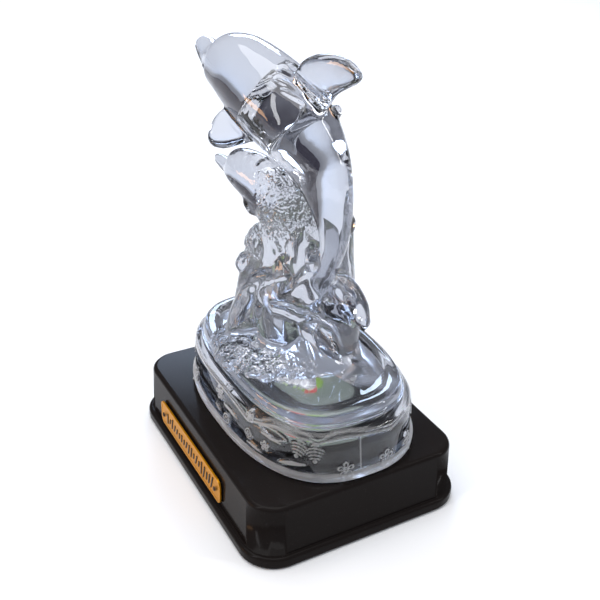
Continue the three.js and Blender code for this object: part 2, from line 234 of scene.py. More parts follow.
def shaped(thing: bpy.types.Object, kind: str, **settings: object) -> bpy.types.Object:
    """Runs one modifier on an object and keeps the result as its mesh.

    Args:
        thing: the object.
        kind: the modifier's type.
        settings: the modifier's properties.

    Returns:
        The same object.
    """
    modifier = thing.modifiers.new(kind.lower(), kind)
    for key, value in settings.items():
        setattr(modifier, key, value)
    graph = bpy.context.evaluated_depsgraph_get()
    result = bpy.data.meshes.new_from_object(thing.evaluated_get(graph))
    thing.modifiers.clear()
    old = thing.data
    thing.data = result
    bpy.data.meshes.remove(old)
    result.name = thing.name
    result.polygons.foreach_set("use_smooth", [True] * len(result.polygons))
    return thing


def mesh_coords(mesh: bpy.types.Mesh) -> np.ndarray:
    """The places of a mesh's vertices, one row each."""
    flat = np.empty(len(mesh.vertices) * 3)
    mesh.vertices.foreach_get("co", flat)
    return flat.reshape(-1, 3)


def mesh_normals(mesh: bpy.types.Mesh) -> np.ndarray:
    """The normals of a mesh's vertices, one row each."""
    flat = np.empty(len(mesh.vertices) * 3)
    mesh.vertex_normals.foreach_get("vector", flat)
    return flat.reshape(-1, 3)


def set_mesh_coords(mesh: bpy.types.Mesh, points: np.ndarray) -> None:
    """Moves a mesh's vertices to new places."""
    mesh.vertices.foreach_set("co", points.reshape(-1))
    mesh.update()


# Shader nodes


class Shader:
    """A material and short ways to add nodes to it."""

    def __init__(self, name: str) -> None:
        """Starts a material with only a Principled shader and an output."""
        self.material = bpy.data.materials.new(name)
        self.material.use_nodes = True
        self.tree = self.material.node_tree
        self.surface = self.tree.nodes["Principled BSDF"]

    def plain(self, **values: object) -> "Shader":
        """Sets plain values on the shader, by socket name with _ for each space."""
        for key, value in values.items():
            self.surface.inputs[key.replace("_", " ")].default_value = value
        return self

    def node(self, kind: str, **values: object) -> bpy.types.Node:
        """Adds a node.

        Args:
            kind: the node's type.
            values: properties of the node, or values of its inputs by name with _ for spaces.

        Returns:
            The node.
        """
        return add_node(self.tree, kind, **values)

    def link(self, source: bpy.types.NodeSocket, target: str) -> None:
        """Joins an output to one of the shader's inputs."""
        self.tree.links.new(source, self.surface.inputs[target])

    def group(self, tree: bpy.types.NodeTree, **values: float) -> bpy.types.Node:
        """Places a shared node group with its own values.

        Args:
            tree: the node group.
            values: its inputs by name with _ for spaces.

        Returns:
            The group's node.
        """
        placed = self.tree.nodes.new("ShaderNodeGroup")
        placed.node_tree = tree
        for key, value in values.items():
            placed.inputs[key.replace("_", " ")].default_value = value
        return placed


def add_node(tree: bpy.types.NodeTree, kind: str, **values: object) -> bpy.types.Node:
    """Adds a node to a tree, with properties or input values by name."""
    node = tree.nodes.new(kind)
    for key, value in values.items():
        if hasattr(node, key):
            setattr(node, key, value)
        else:
            node.inputs[key.replace("_", " ")].default_value = value
    return node


class Effects:
    """Node groups that more than one finish uses."""

    def __init__(self) -> None:
        """Builds each group once."""
        self.wear = self._wear()
        self.ripple = self._ripple()

    @staticmethod
    def _start(name: str, inputs: dict[str, float], outputs: dict[str, str]) -> tuple[
            bpy.types.NodeTree, bpy.types.Node, bpy.types.Node]:
        """Starts a group with named sockets.

        Args:
            name: the group's name.
            inputs: each float input's name and value.
            outputs: each output's name and socket type.

        Returns:
            The group, its input node and its output node.
        """
        tree = bpy.data.node_groups.new(name, "ShaderNodeTree")
        for key, value in inputs.items():
            socket = tree.interface.new_socket(key, in_out="INPUT", socket_type="NodeSocketFloat")
            socket.default_value = value
        for key, kind in outputs.items():
            tree.interface.new_socket(key, in_out="OUTPUT", socket_type=kind)
        return tree, tree.nodes.new("NodeGroupInput"), tree.nodes.new("NodeGroupOutput")

    def _wear(self) -> bpy.types.NodeTree:
        """Fine scratches and specks: a mask of each, from Object coordinates."""
        tree, entry, leave = self._start(
            "scuffs and dust", {"Scale": 1.0, "Amount": 0.5},
            {"Scuffs": "NodeSocketFloat", "Dust": "NodeSocketFloat"})
        place_node = add_node(tree, "ShaderNodeTexCoord")
        size = add_node(tree, "ShaderNodeVectorMath", operation="SCALE")
        streak = add_node(tree, "ShaderNodeMapping", Scale=(40.0, 900.0, 900.0),
                          Rotation=(0.7, 0.6, 0.8))
        lines = add_node(tree, "ShaderNodeTexNoise", Scale=1.0, Detail=3.0, Roughness=0.6)
        thin = add_node(tree, "ShaderNodeMapRange", From_Min=0.66, From_Max=0.78)
        patch = add_node(tree, "ShaderNodeTexNoise", Scale=90.0, Detail=2.0)
        some = add_node(tree, "ShaderNodeMapRange", From_Min=0.48, From_Max=0.62)
        both = add_node(tree, "ShaderNodeMath", operation="MULTIPLY")
        scaled = add_node(tree, "ShaderNodeMath", operation="MULTIPLY")
        grains = add_node(tree, "ShaderNodeTexVoronoi", Scale=700.0)
        specks = add_node(tree, "ShaderNodeMapRange", From_Min=0.16, From_Max=0.05)
        dust = add_node(tree, "ShaderNodeMath", operation="MULTIPLY")
        link = tree.links.new
        link(place_node.outputs["Object"], size.inputs[0])
        link(entry.outputs["Scale"], size.inputs["Scale"])
        link(size.outputs[0], streak.inputs["Vector"])
        link(streak.outputs[0], lines.inputs["Vector"])
        link(size.outputs[0], patch.inputs["Vector"])
        link(size.outputs[0], grains.inputs["Vector"])
        link(lines.outputs["Fac"], thin.inputs["Value"])
        link(patch.outputs["Fac"], some.inputs["Value"])
        link(thin.outputs["Result"], both.inputs[0])
        link(some.outputs["Result"], both.inputs[1])
        link(both.outputs[0], scaled.inputs[0])
        link(entry.outputs["Amount"], scaled.inputs[1])
        link(scaled.outputs[0], leave.inputs["Scuffs"])
        link(grains.outputs["Distance"], specks.inputs["Value"])
        link(specks.outputs["Result"], dust.inputs[0])
        link(entry.outputs["Amount"], dust.inputs[1])
        link(dust.outputs[0], leave.inputs["Dust"])
        return tree

    def _ripple(self) -> bpy.types.NodeTree:
        """The slow unevenness of a moulded surface, as a height from 0 to 1."""
        tree, entry, leave = self._start(
            "moulded ripple", {"Scale": 60.0, "Grain": 0.2}, {"Height": "NodeSocketFloat"})
        spot = add_node(tree, "ShaderNodeTexCoord")
        slow = add_node(tree, "ShaderNodeTexNoise", Detail=1.0, Roughness=0.4)
        fine = add_node(tree, "ShaderNodeTexNoise", Detail=2.0, Scale=1800.0)
        mix = add_node(tree, "ShaderNodeMix", data_type="FLOAT")
        link = tree.links.new
        link(spot.outputs["Object"], slow.inputs["Vector"])
        link(spot.outputs["Object"], fine.inputs["Vector"])
        link(entry.outputs["Scale"], slow.inputs["Scale"])
        link(entry.outputs["Grain"], mix.inputs["Factor"])
        link(slow.outputs["Fac"], mix.inputs["A"])
        link(fine.outputs["Fac"], mix.inputs["B"])
        link(mix.outputs["Result"], leave.inputs["Height"])
        return tree


@dataclass(frozen=True)
class ClearCast:
    """Clear cast resin: polished, a little uneven, frosted where the relief was cut."""

    tint: Colour = (0.54, 0.558, 0.605, 1.0)
    index: float = 1.49
    polish: float = 0.012
    frost: float = 0.55
    bloom: float = 0.9
    scuffs: float = 0.06
    scuff_scale: float = 0.8
    wave: float = 0.06
    wave_scale: float = 140.0
    wave_depth: float = 0.001
    grain: float = 950.0
    grain_depth: float = 0.0009

    def build(self, effects: Effects) -> bpy.types.Material:
        """Makes the material from the shared effects."""
        shader = Shader("clear cast")
        shader.plain(Base_Color=self.tint, IOR=self.index, Transmission_Weight=1.0, Metallic=0.0,
                     Sheen_Roughness=self.bloom)
        cut = shader.node("ShaderNodeAttribute", attribute_name="frost")
        shader.link(cut.outputs["Fac"], "Sheen Weight")
        wear = shader.group(effects.wear, Scale=self.scuff_scale, Amount=self.scuffs)
        spots = shader.node("ShaderNodeMath", operation="ADD", use_clamp=True)
        rough = shader.node("ShaderNodeMapRange", To_Min=self.polish, To_Max=self.frost)
        link = shader.tree.links.new
        link(cut.outputs["Fac"], spots.inputs[0])
        link(wear.outputs["Scuffs"], spots.inputs[1])
        link(spots.outputs[0], rough.inputs["Value"])
        shader.link(rough.outputs["Result"], "Roughness")
        ripple = shader.group(effects.ripple, Scale=self.wave_scale, Grain=0.0)
        relief = shader.node("ShaderNodeBump", Strength=self.wave, Distance=self.wave_depth)
        link(ripple.outputs["Height"], relief.inputs["Height"])
        spot = shader.node("ShaderNodeTexCoord")
        cells = shader.node("ShaderNodeTexVoronoi", feature="SMOOTH_F1", Scale=self.grain)
        froth = shader.node("ShaderNodeAttribute", attribute_name="froth")
        beads = shader.node("ShaderNodeBump", Distance=self.grain_depth)
        link(spot.outputs["Object"], cells.inputs["Vector"])
        link(froth.outputs["Fac"], beads.inputs["Strength"])
        link(cells.outputs["Distance"], beads.inputs["Height"])
        link(relief.outputs["Normal"], beads.inputs["Normal"])
        shader.link(beads.outputs["Normal"], "Normal")
        return shader.material


@dataclass(frozen=True)
class Moulded:
    """Moulded plastic, lacquer or sheet metal, with scuffs, dust and a slow ripple."""

    name: str
    colour: Colour
    dusty: Colour
    low: float
    high: float
    wear: float = 0.5
    shine: float = 0.5
    metal: float = 0.0
    grain: float = 0.2
    glow: float = 0.0
    ripple: float = 0.12
    ripple_scale: float = 45.0
    ripple_depth: float = 0.0006
    ripple_share: float = 0.5

    def build(self, effects: Effects) -> bpy.types.Material:
        """Makes the material from the shared effects."""
        shader = Shader(self.name)
        shader.plain(Metallic=self.metal, Specular_IOR_Level=self.shine)
        # Emission: on the lens domes it is the lamps' own light; on the pad it is a painted glow
        # that stands in for the domes' light falling on it.
        if self.glow:
            shader.plain(Emission_Color=self.colour, Emission_Strength=self.glow)
        marks = shader.group(effects.wear, Scale=1.0, Amount=self.wear)
        ripple = shader.group(effects.ripple, Scale=self.ripple_scale, Grain=self.grain)
        tone = shader.node("ShaderNodeMix", data_type="RGBA")
        tone.inputs["A"].default_value = self.colour
        tone.inputs["B"].default_value = self.dusty
        both = shader.node("ShaderNodeMath", operation="MAXIMUM")
        link = shader.tree.links.new
        link(marks.outputs["Scuffs"], both.inputs[0])
        link(marks.outputs["Dust"], both.inputs[1])
        link(both.outputs[0], tone.inputs["Factor"])
        shader.link(tone.outputs["Result"], "Base Color")
        rough = shader.node("ShaderNodeMapRange", To_Min=self.low, To_Max=self.high)
        blend = shader.node("ShaderNodeMath", operation="MULTIPLY_ADD", use_clamp=True)
        blend.inputs[1].default_value = self.ripple_share
        link(ripple.outputs["Height"], blend.inputs[0])
        link(both.outputs[0], blend.inputs[2])
        link(blend.outputs[0], rough.inputs["Value"])
        shader.link(rough.outputs["Result"], "Roughness")
        relief = shader.node("ShaderNodeBump", Strength=self.ripple,
                             Distance=self.ripple_depth)
        link(ripple.outputs["Height"], relief.inputs["Height"])
        shader.link(relief.outputs["Normal"], "Normal")
        return shader.material


FINISHES = {
    Slot.BLACK: Moulded("black lacquer", (0.0115, 0.0092, 0.0085, 1), (0.06, 0.055, 0.052, 1),
                        0.09, 0.36, wear=0.22, shine=0.05, grain=0.02),
    Slot.GOLD: Moulded("gold sheet", (0.60, 0.255, 0.006, 1), (0.72, 0.42, 0.06, 1),
                       0.36, 0.6, wear=0.4, shine=0.3, metal=0.8),
    Slot.PIN: Moulded("dark pin", (0.06, 0.035, 0.02, 1), (0.3, 0.22, 0.12, 1),
                      0.3, 0.6, metal=0.7),
    # The pad's glow is painted light: the pad is no lamp, and its emission stands in for the
    # domes' light falling on it.
    Slot.PALE: Moulded("pale plastic with painted glow", (0.48, 0.55, 0.47, 1), (0.62, 0.66, 0.6, 1),
                       0.4, 0.6, wear=0.3, glow=0.35),
    Slot.GREEN: Moulded("green lens", (0.42, 0.7, 0.08, 1), (0.6, 0.8, 0.3, 1),
                        0.12, 0.3, wear=0.1, glow=0.6),
    Slot.RED: Moulded("red lens", (0.9, 0.06, 0.05, 1), (0.9, 0.3, 0.3, 1),
                      0.12, 0.3, wear=0.1, glow=0.8),
    Slot.CLEAR: ClearCast(),
}


class Workshop:
    """Dresses finished pieces and fastens them to the frame."""

    def __init__(self) -> None:
        """Builds the materials once."""
        effects = Effects()
        self.materials = {slot: finish.build(effects) for slot, finish in FINISHES.items()}

    def fit(self, piece: bpy.types.Object, slot: Slot, *nodes: str) -> None:
        """Dresses a piece, rides it on the body and says which nodes it stands for.

        Args:
            piece: the finished object.
            slot: its material slot.
            nodes: the frame's nodes that it replaces.
        """
        piece.data.materials.clear()
        piece.data.materials.append(self.materials[slot])
        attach(piece, BODY)
        if nodes:
            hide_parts(*nodes)
        log.info("%s: %d faces", piece.name, len(piece.data.polygons))


# Plinth, plate and light unit


@dataclass
class Plinth:
    """Gloss black plinth: a leaning block with rounded edges on a rounded foot."""

    foot_length: float = 104.8
    foot_width: float = 81.6
    foot_height: float = 4.4
    foot_round: float = 1.2
    foot_corner: float = 12.5
    length: float = 99.6
    width: float = 76.4
    height: float = 22.9
    corner: float = 10.0
    edge: float = 1.6
    draft: float = 1.2
    sink: float = 1.0

    def lean(self, z: np.ndarray) -> np.ndarray:
        """How much wider the block is at a height than at its top."""
        return 1 + (self.draft / self.width) * (1 - z / self.height)

    def build(self, shop: Workshop) -> None:
        """Makes the plinth and fits it."""
        foot = rounded_block(
            self.foot_length, self.foot_width, self.foot_height, self.foot_corner,
            self.foot_round)
        block = rounded_block(
            self.length, self.width, self.height - self.sink, self.corner, self.edge)
        points = coords(block)
        points[:, 2] += self.sink
        points[:, :2] *= self.lean(points[:, 2])[:, None]
        place(block, points)
        for bm in (foot, block):
            bmesh.ops.scale(bm, vec=(MM, MM, MM), verts=bm.verts)
        body = to_object("plinth_body", foot)
        cutter = to_object("plinth_block", block)
        shaped(body, "BOOLEAN", operation="UNION", solver="EXACT", object=cutter)
        bpy.data.objects.remove(cutter)
        shaped(body, "WEIGHTED_NORMAL", keep_sharp=True)
        shop.fit(body, Slot.BLACK, "plinth")


def rounded_block(length: float, width: float, height: float, corner: float, edge: float,
                  corner_steps: int = 12, edge_steps: int = 5) -> bmesh.types.BMesh:
    """A block with rounded upright corners and rounded rims, standing on z = 0.

    Args:
        length, width, height: its size.
        corner: the upright corners' radius.
        edge: the rims' radius.
        corner_steps, edge_steps: faces in each rounding.

    Returns:
        The bmesh, in the same units as its size.
    """
    bm = bmesh.new()
    bmesh.ops.create_cube(bm, size=1.0)
    bmesh.ops.scale(bm, vec=(length, width, height), verts=bm.verts)
    bmesh.ops.translate(bm, vec=(0, 0, height / 2), verts=bm.verts)
    upright = [e for e in bm.edges if abs(e.verts[0].co.z - e.verts[1].co.z) > height / 2]
    bmesh.ops.bevel(bm, geom=upright, offset=corner, offset_type="OFFSET", affect="EDGES",
                    segments=corner_steps, profile=0.5, material=-1)
    rims = [e for e in bm.edges if abs(e.verts[0].co.z - e.verts[1].co.z) < 1e-6
            and any(abs(f.normal.z) < 0.5 for f in e.link_faces)
            and any(abs(f.normal.z) > 0.5 for f in e.link_faces)]
    bmesh.ops.bevel(bm, geom=rims, offset=edge, offset_type="OFFSET", affect="EDGES",
                    segments=edge_steps, profile=0.5, material=-1)
    return bm


@dataclass
class Plate:
    """Gold plate on the front wall, with two pins and a row of shallow strokes."""

    thickness: float = 0.8
    corner: float = 2.6
    border: float = 0.9
    rim: float = 0.12
    stroke_count: int = 19
    stroke_height: float = 5.8
    stroke_width: float = 0.72
    stroke_proud: float = 0.14
    stroke_corner: float = 0.25
    stroke_edge: float = 0.06
    stroke_shares: tuple[float, ...] = (0.45, 0.62, 0.8, 1.0)
    stroke_lean: tuple[float, float] = (-24, -4)
    stroke_drift: float = 0.4
    margin: float = 6.6
    seed: int = 7

    def build(self, shop: Workshop) -> None:
        """Makes the plate, its strokes and its pins, and fits them."""
        low, high = (Vector(corner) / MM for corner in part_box("nameplate"))
        centre = (low + high) / 2
        sheet = rounded_block(high.x - low.x, high.z - low.z, self.thickness - self.rim,
                              self.corner, self.rim, edge_steps=2)
        top = max(sheet.faces, key=lambda face: face.calc_center_median().z)
        bmesh.ops.inset_region(sheet, faces=[top], thickness=self.border)
        bmesh.ops.inset_region(sheet, faces=[top], thickness=self.rim, depth=-self.rim)
        self.stand(sheet, centre.x, high.y, centre.z)
        shop.fit(to_object("gold_plate", sheet, shine=False), Slot.GOLD, "nameplate")
        strokes = gather(self.strokes(high.x - low.x))
        self.stand(strokes, centre.x, low.y + self.stroke_proud, centre.z)
        shop.fit(to_object("plate_strokes", strokes), Slot.PIN)
        for side in ("left", "right"):
            node = f"plate_pin_{side}"
            start, end = (Vector(corner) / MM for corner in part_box(node))
            head = dome((end.x - start.x) / 2, end.y - start.y)
            self.stand(head, (start.x + end.x) / 2, end.y, (start.z + end.z) / 2)
            shop.fit(to_object(f"pin_head_{side}", head), Slot.PIN, node)

    @staticmethod
    def stand(bm: bmesh.types.BMesh, x: float, back: float, z: float) -> None:
        """Stands a flat piece upright, facing the front, and puts it into metres.

        Args:
            bm: the piece, lying on z = 0.
            x, z: where its centre goes.
            back: the Y of its back.
        """
        turn = Matrix.Rotation(math.radians(90), 4, "X")
        shift = Matrix.Translation((x, back, z))
        bmesh.ops.transform(bm, matrix=Matrix.Scale(MM, 4) @ shift @ turn, verts=bm.verts)

    def strokes(self, length: float) -> list[bmesh.types.BMesh]:
        """Short slanted strokes in a row, that are no letters."""
        draw = random.Random(self.seed)
        made = []
        start = self.margin - length / 2
        pitch = (length - 2 * self.margin) / (self.stroke_count - 1)
        for index in range(self.stroke_count):
            tall = self.stroke_height * draw.choice(self.stroke_shares)
            bar = rounded_block(self.stroke_width, tall, self.stroke_proud * 2,
                                self.stroke_corner, self.stroke_edge, 3, 2)
            lean = Matrix.Rotation(math.radians(draw.uniform(*self.stroke_lean)), 4, "Z")
            rise = draw.uniform(-self.stroke_drift, self.stroke_drift)
            spot = Matrix.Translation((start + index * pitch, rise, -self.stroke_proud))
            bmesh.ops.transform(bar, matrix=spot @ lean, verts=bar.verts)
            made.append(bar)
        return made


def dome(radius: float, height: float, collar: float = 0.1) -> bmesh.types.BMesh:
    """A round head with a domed top and flat back, standing on z = 0.

    Args:
        radius: its radius.
        height: its whole height.
        collar: the height of its upright side.

    Returns:
        The bmesh.
    """
    bm, along, turn, reach = ball(32, 24)
    rise = np.clip(np.cos(along * math.pi), 0, 1) * (height - collar) + collar
    rise[along > 0.5 + 1e-6] = 0.0
    return outward(place(bm, np.stack(
        [radius * reach * np.cos(turn), radius * reach * np.sin(turn), rise], axis=1)))


@dataclass
class LightUnit:
    """Pale pad with three tinted domes, under the clear base."""

    domes: dict[str, Slot] = field(default_factory=lambda: {
        "led_green_left": Slot.GREEN, "led_red": Slot.RED, "led_green_right": Slot.GREEN})
    corner: float = 8.0
    edge: float = 0.8
    groove_inset: float = 3.0
    groove: float = 0.35
    groove_slope: float = 0.3
    groove_floor: float = 0.4
    collar: float = 2.6

    def build(self, shop: Workshop) -> None:
        """Makes the pad and the domes and fits them."""
        low, high = (Vector(corner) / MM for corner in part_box("light_pad"))
        size = high - low
        pad = rounded_block(size.x, size.y, size.z, self.corner, self.edge)
        top = max(pad.faces, key=lambda face: face.calc_center_median().z)
        bmesh.ops.inset_region(pad, faces=[top], thickness=self.groove_inset)
        bmesh.ops.inset_region(pad, faces=[top], thickness=self.groove_slope,
                               depth=-self.groove)
        bmesh.ops.inset_region(pad, faces=[top], thickness=self.groove_floor)
        bmesh.ops.inset_region(pad, faces=[top], thickness=self.groove_slope,
                               depth=self.groove)
        shift = Matrix.Translation(((low.x + high.x) / 2, (low.y + high.y) / 2, low.z))
        bmesh.ops.transform(pad, matrix=Matrix.Scale(MM, 4) @ shift, verts=pad.verts)
        shop.fit(to_object("pad", pad, shine=False), Slot.PALE, "light_pad")
        for node, slot in self.domes.items():
            start, end = (Vector(corner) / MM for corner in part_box(node))
            bulb = dome((end.x - start.x) / 2, end.z - start.z, self.collar)
            centre = (start + end) / 2
            shift = Matrix.Translation((centre.x, centre.y, start.z))
            bmesh.ops.transform(bulb, matrix=Matrix.Scale(MM, 4) @ shift, verts=bulb.verts)
            shop.fit(to_object(f"dome_{node}", bulb), slot, node)


# Clear casting


@dataclass(frozen=True)
class FigureFrame:
    """How the casting's own millimetres sit in the part's frame."""

    foot: float = 26.3
    scale: float = 1.0186
    lean: float = -0.0206
    rest: float = 23.2

    def seat(self, points: np.ndarray) -> np.ndarray:
        """Places of the casting, in metres of the part's frame."""
        rise = (points[:, 2] - self.foot) * self.scale
        seated = points * self.scale
        seated[:, 1] += self.lean * rise
        seated[:, 2] = self.rest + rise
        return seated * MM


def swept_body(stations: Sequence[Sequence[float]], sides: int, rows: int) -> bmesh.types.BMesh:
    """A body swept along a spine in the XZ plane.

    Args:
        stations: x, z, half width, height above the spine and depth below it, at each station.
        sides: faces round it.
        rows: faces along it.

    Returns:
        The bmesh.
    """
    spine = Curve([(x, 0.0, z) for x, z, *_ in stations])
    girth = Curve([radii for _, _, *radii in stations])
    bm, along, turn, reach = ball(sides, rows)
    forward = spine.heading(along)
    dorsal = np.stack([-forward[:, 2], np.zeros(len(along)), forward[:, 0]], axis=1)
    radii = girth.at(along)
    open_ring = np.where(reach > 1e-6, 1.0, 0.0)
    aside, lift = np.cos(turn) * open_ring, np.sin(turn) * open_ring
    upright = np.where(lift > 0, radii[:, 1], radii[:, 2])
    points = spine.at(along) + dorsal * (lift * upright)[:, None]
    points[:, 1] += aside * radii[:, 0]
    return place(bm, points)


def pillow(outline: Sequence[Sequence[float]], thickness: float, centre: tuple[float, float],
           fullness: float = 0.55) -> bmesh.types.BMesh:
    """A fin-like blade with rounded edges, thickest at its centre.

    Args:
        outline: points of its outline in its own plane.
        thickness: its greatest thickness.
        centre: the point that its faces spread from.
        fullness: how square its section is, from 1 for an oval down to 0 for a slab.

    Returns:
        The bmesh, lying in the XY plane.
    """
    edge = Curve(outline, closed=True)
    bm, along, turn, _ = ball(72, 36)
    share = (turn / (2 * math.pi)) % 1.0
    polar = along * math.pi
    spread = np.sin(polar)[:, None]
    middle = np.array(centre)
    flat = middle + (edge.at(share) - middle) * spread
    high = np.sign(np.cos(polar)) * np.abs(np.cos(polar)) ** fullness * thickness / 2
    return outward(place(bm, np.column_stack([flat, high])))


@dataclass(frozen=True)
class Tongue:
    """A tongue of water, rounded off at both ends.

    Its path holds x, y, z and radius at each place. Its flatness is its depth away from the
    wave's axis over its width.
    """

    path: tuple[tuple[float, float, float, float], ...]
    flatness: float = 1.0
    ridge: float = 0.0
    sides: int = 48
    rows: int = 72
    blunt: float = 2.2

    def build(self) -> bmesh.types.BMesh:
        """Makes the tongue."""
        line = Curve([step[:3] for step in self.path])
        girth = Curve([(step[3], 0.0, step[2]) for step in self.path])
        bm, along, turn, reach = ball(self.sides, self.rows)
        centre, up = line.at(along), line.heading(along)
        away = centre - np.array((*WAVE_AXIS, 0.0))
        away[:, 2] = 0.0
        out = away - up * np.sum(away * up, axis=1, keepdims=True)
        out /= np.linalg.norm(out, axis=1, keepdims=True)
        aside = np.cross(up, out)
        cap = np.minimum(1.0, reach * self.blunt)
        radius = girth.at(along)[:, 0] * cap * (1 + self.ridge * np.cos(3 * turn))
        points = centre + out * (radius * self.flatness * np.cos(turn))[:, None]
        return place(bm, points - aside * (radius * np.sin(turn))[:, None])


def lump(spot: Point, radii: Point, dent: float, detail: int = 4) -> bmesh.types.BMesh:
    """A rounded lump with a few shallow dents.

    Args:
        spot: its centre.
        radii: its half sizes.
        dent: how deep the dents are, as a share of its size.
        detail: how finely it is divided.

    Returns:
        The bmesh.
    """
    bm = bmesh.new()
    bmesh.ops.create_icosphere(bm, subdivisions=detail, radius=1.0)
    points = coords(bm)
    x, y, z = points.T
    swell = np.sin(5 * x + 2 * z) * np.sin(4 * y + 1) * np.cos(5 * z)
    return place(bm, points * (1 + dent * swell)[:, None] * np.array(radii) + np.array(spot))


@dataclass(frozen=True)
class Cut:
    """A shallow line on a dolphin's side, in its own XZ plane."""

    start: tuple[float, float]
    end: tuple[float, float]
    width: float
    depth: float

    def distance(self, x: np.ndarray, z: np.ndarray) -> np.ndarray:
        """How far places are from the line.

        Args:
            x, z: the places, in the dolphin's own plane.

        Returns:
            One distance a place.
        """
        (x0, z0), (x1, z1) = self.start, self.end
        span = math.hypot(x1 - x0, z1 - z0)
        share = ((x - x0) * (x1 - x0) + (z - z0) * (z1 - z0)) / span ** 2
        held = np.clip(share, 0, 1)
        return np.hypot(x - x0 - held * (x1 - x0), z - z0 - held * (z1 - z0))


@dataclass
class Dolphin:
    """What both dolphins share: a body and flippers, eyes and the lines on their sides."""

    yaw: float
    # X, z, half width, height above the spine and depth below it.
    stations: tuple[tuple[float, ...], ...]
    # Faces round the body and along it.
    faces: tuple[int, int]
    flipper_outline: tuple[tuple[float, float], ...]
    flipper_thickness: float
    flipper_middle: tuple[float, float]
    flipper_spot: Point
    flipper_along: Point
    flipper_across: Point
    eye: tuple[float, float]
    cuts: tuple[Cut, ...]
    side: float = 0.0
    eye_radius: float = 1.0
    eye_proud: float = 0.45
    lid_radius: float = 1.3
    lid_width: float = 0.6
    lid_depth: float = 0.3
    flank: tuple[float, float] = (0.4, 1.4)

    def body(self) -> bmesh.types.BMesh:
        """The body alone, before it is set down."""
        return swept_body(self.stations, *self.faces)

    def flippers(self) -> list[bmesh.types.BMesh]:
        """Both flippers, before they are set down."""
        made = []
        for side in (1, -1):
            flipper = pillow(self.flipper_outline, self.flipper_thickness, self.flipper_middle)
            lay(flipper, self.flipper_spot, self.flipper_along, self.flipper_across)
            bmesh.ops.scale(flipper, vec=(1, side, 1), verts=flipper.verts)
            made.append(flipper)
        return made

    def set_down(self, pieces: list[bmesh.types.BMesh]) -> list[bmesh.types.BMesh]:
        """Moves pieces aside and turns them, as the dolphin leaps."""
        for bm in pieces:
            bmesh.ops.translate(bm, vec=(0, self.side, 0), verts=bm.verts)
            bmesh.ops.transform(bm, matrix=Matrix.Rotation(math.radians(self.yaw), 4, "Z"),
                                verts=bm.verts)
        return pieces

    def local(self, points: np.ndarray) -> tuple[np.ndarray, np.ndarray]:
        """X and Y of places as they are before the dolphin is turned and moved aside."""
        angle = math.radians(self.yaw)
        x, y = points[:, 0], points[:, 1]
        return (x * math.cos(angle) + y * math.sin(angle),
                -x * math.sin(angle) + y * math.cos(angle) - self.side)

    def markings(self, points: np.ndarray) -> np.ndarray:
        """The height of the eyes and of the lines on the sides, below 0 where they are cut in.

        Args:
            points: places on the dolphin.

        Returns:
            One height a place.
        """
        x, y = self.local(points)
        z = points[:, 2]
        aside = smoothstep(*self.flank, np.abs(y))
        height = np.zeros(len(points))
        for cut in self.cuts:
            height = height - cut.depth * bump(cut.distance(x, z), cut.width) * aside
        away = np.hypot(x - self.eye[0], z - self.eye[1])
        eyeball = self.eye_proud * bump(away, self.eye_radius) * aside
        lid = self.lid_depth * bump(np.abs(away - self.lid_radius), self.lid_width) * aside
        return height + eyeball - lid


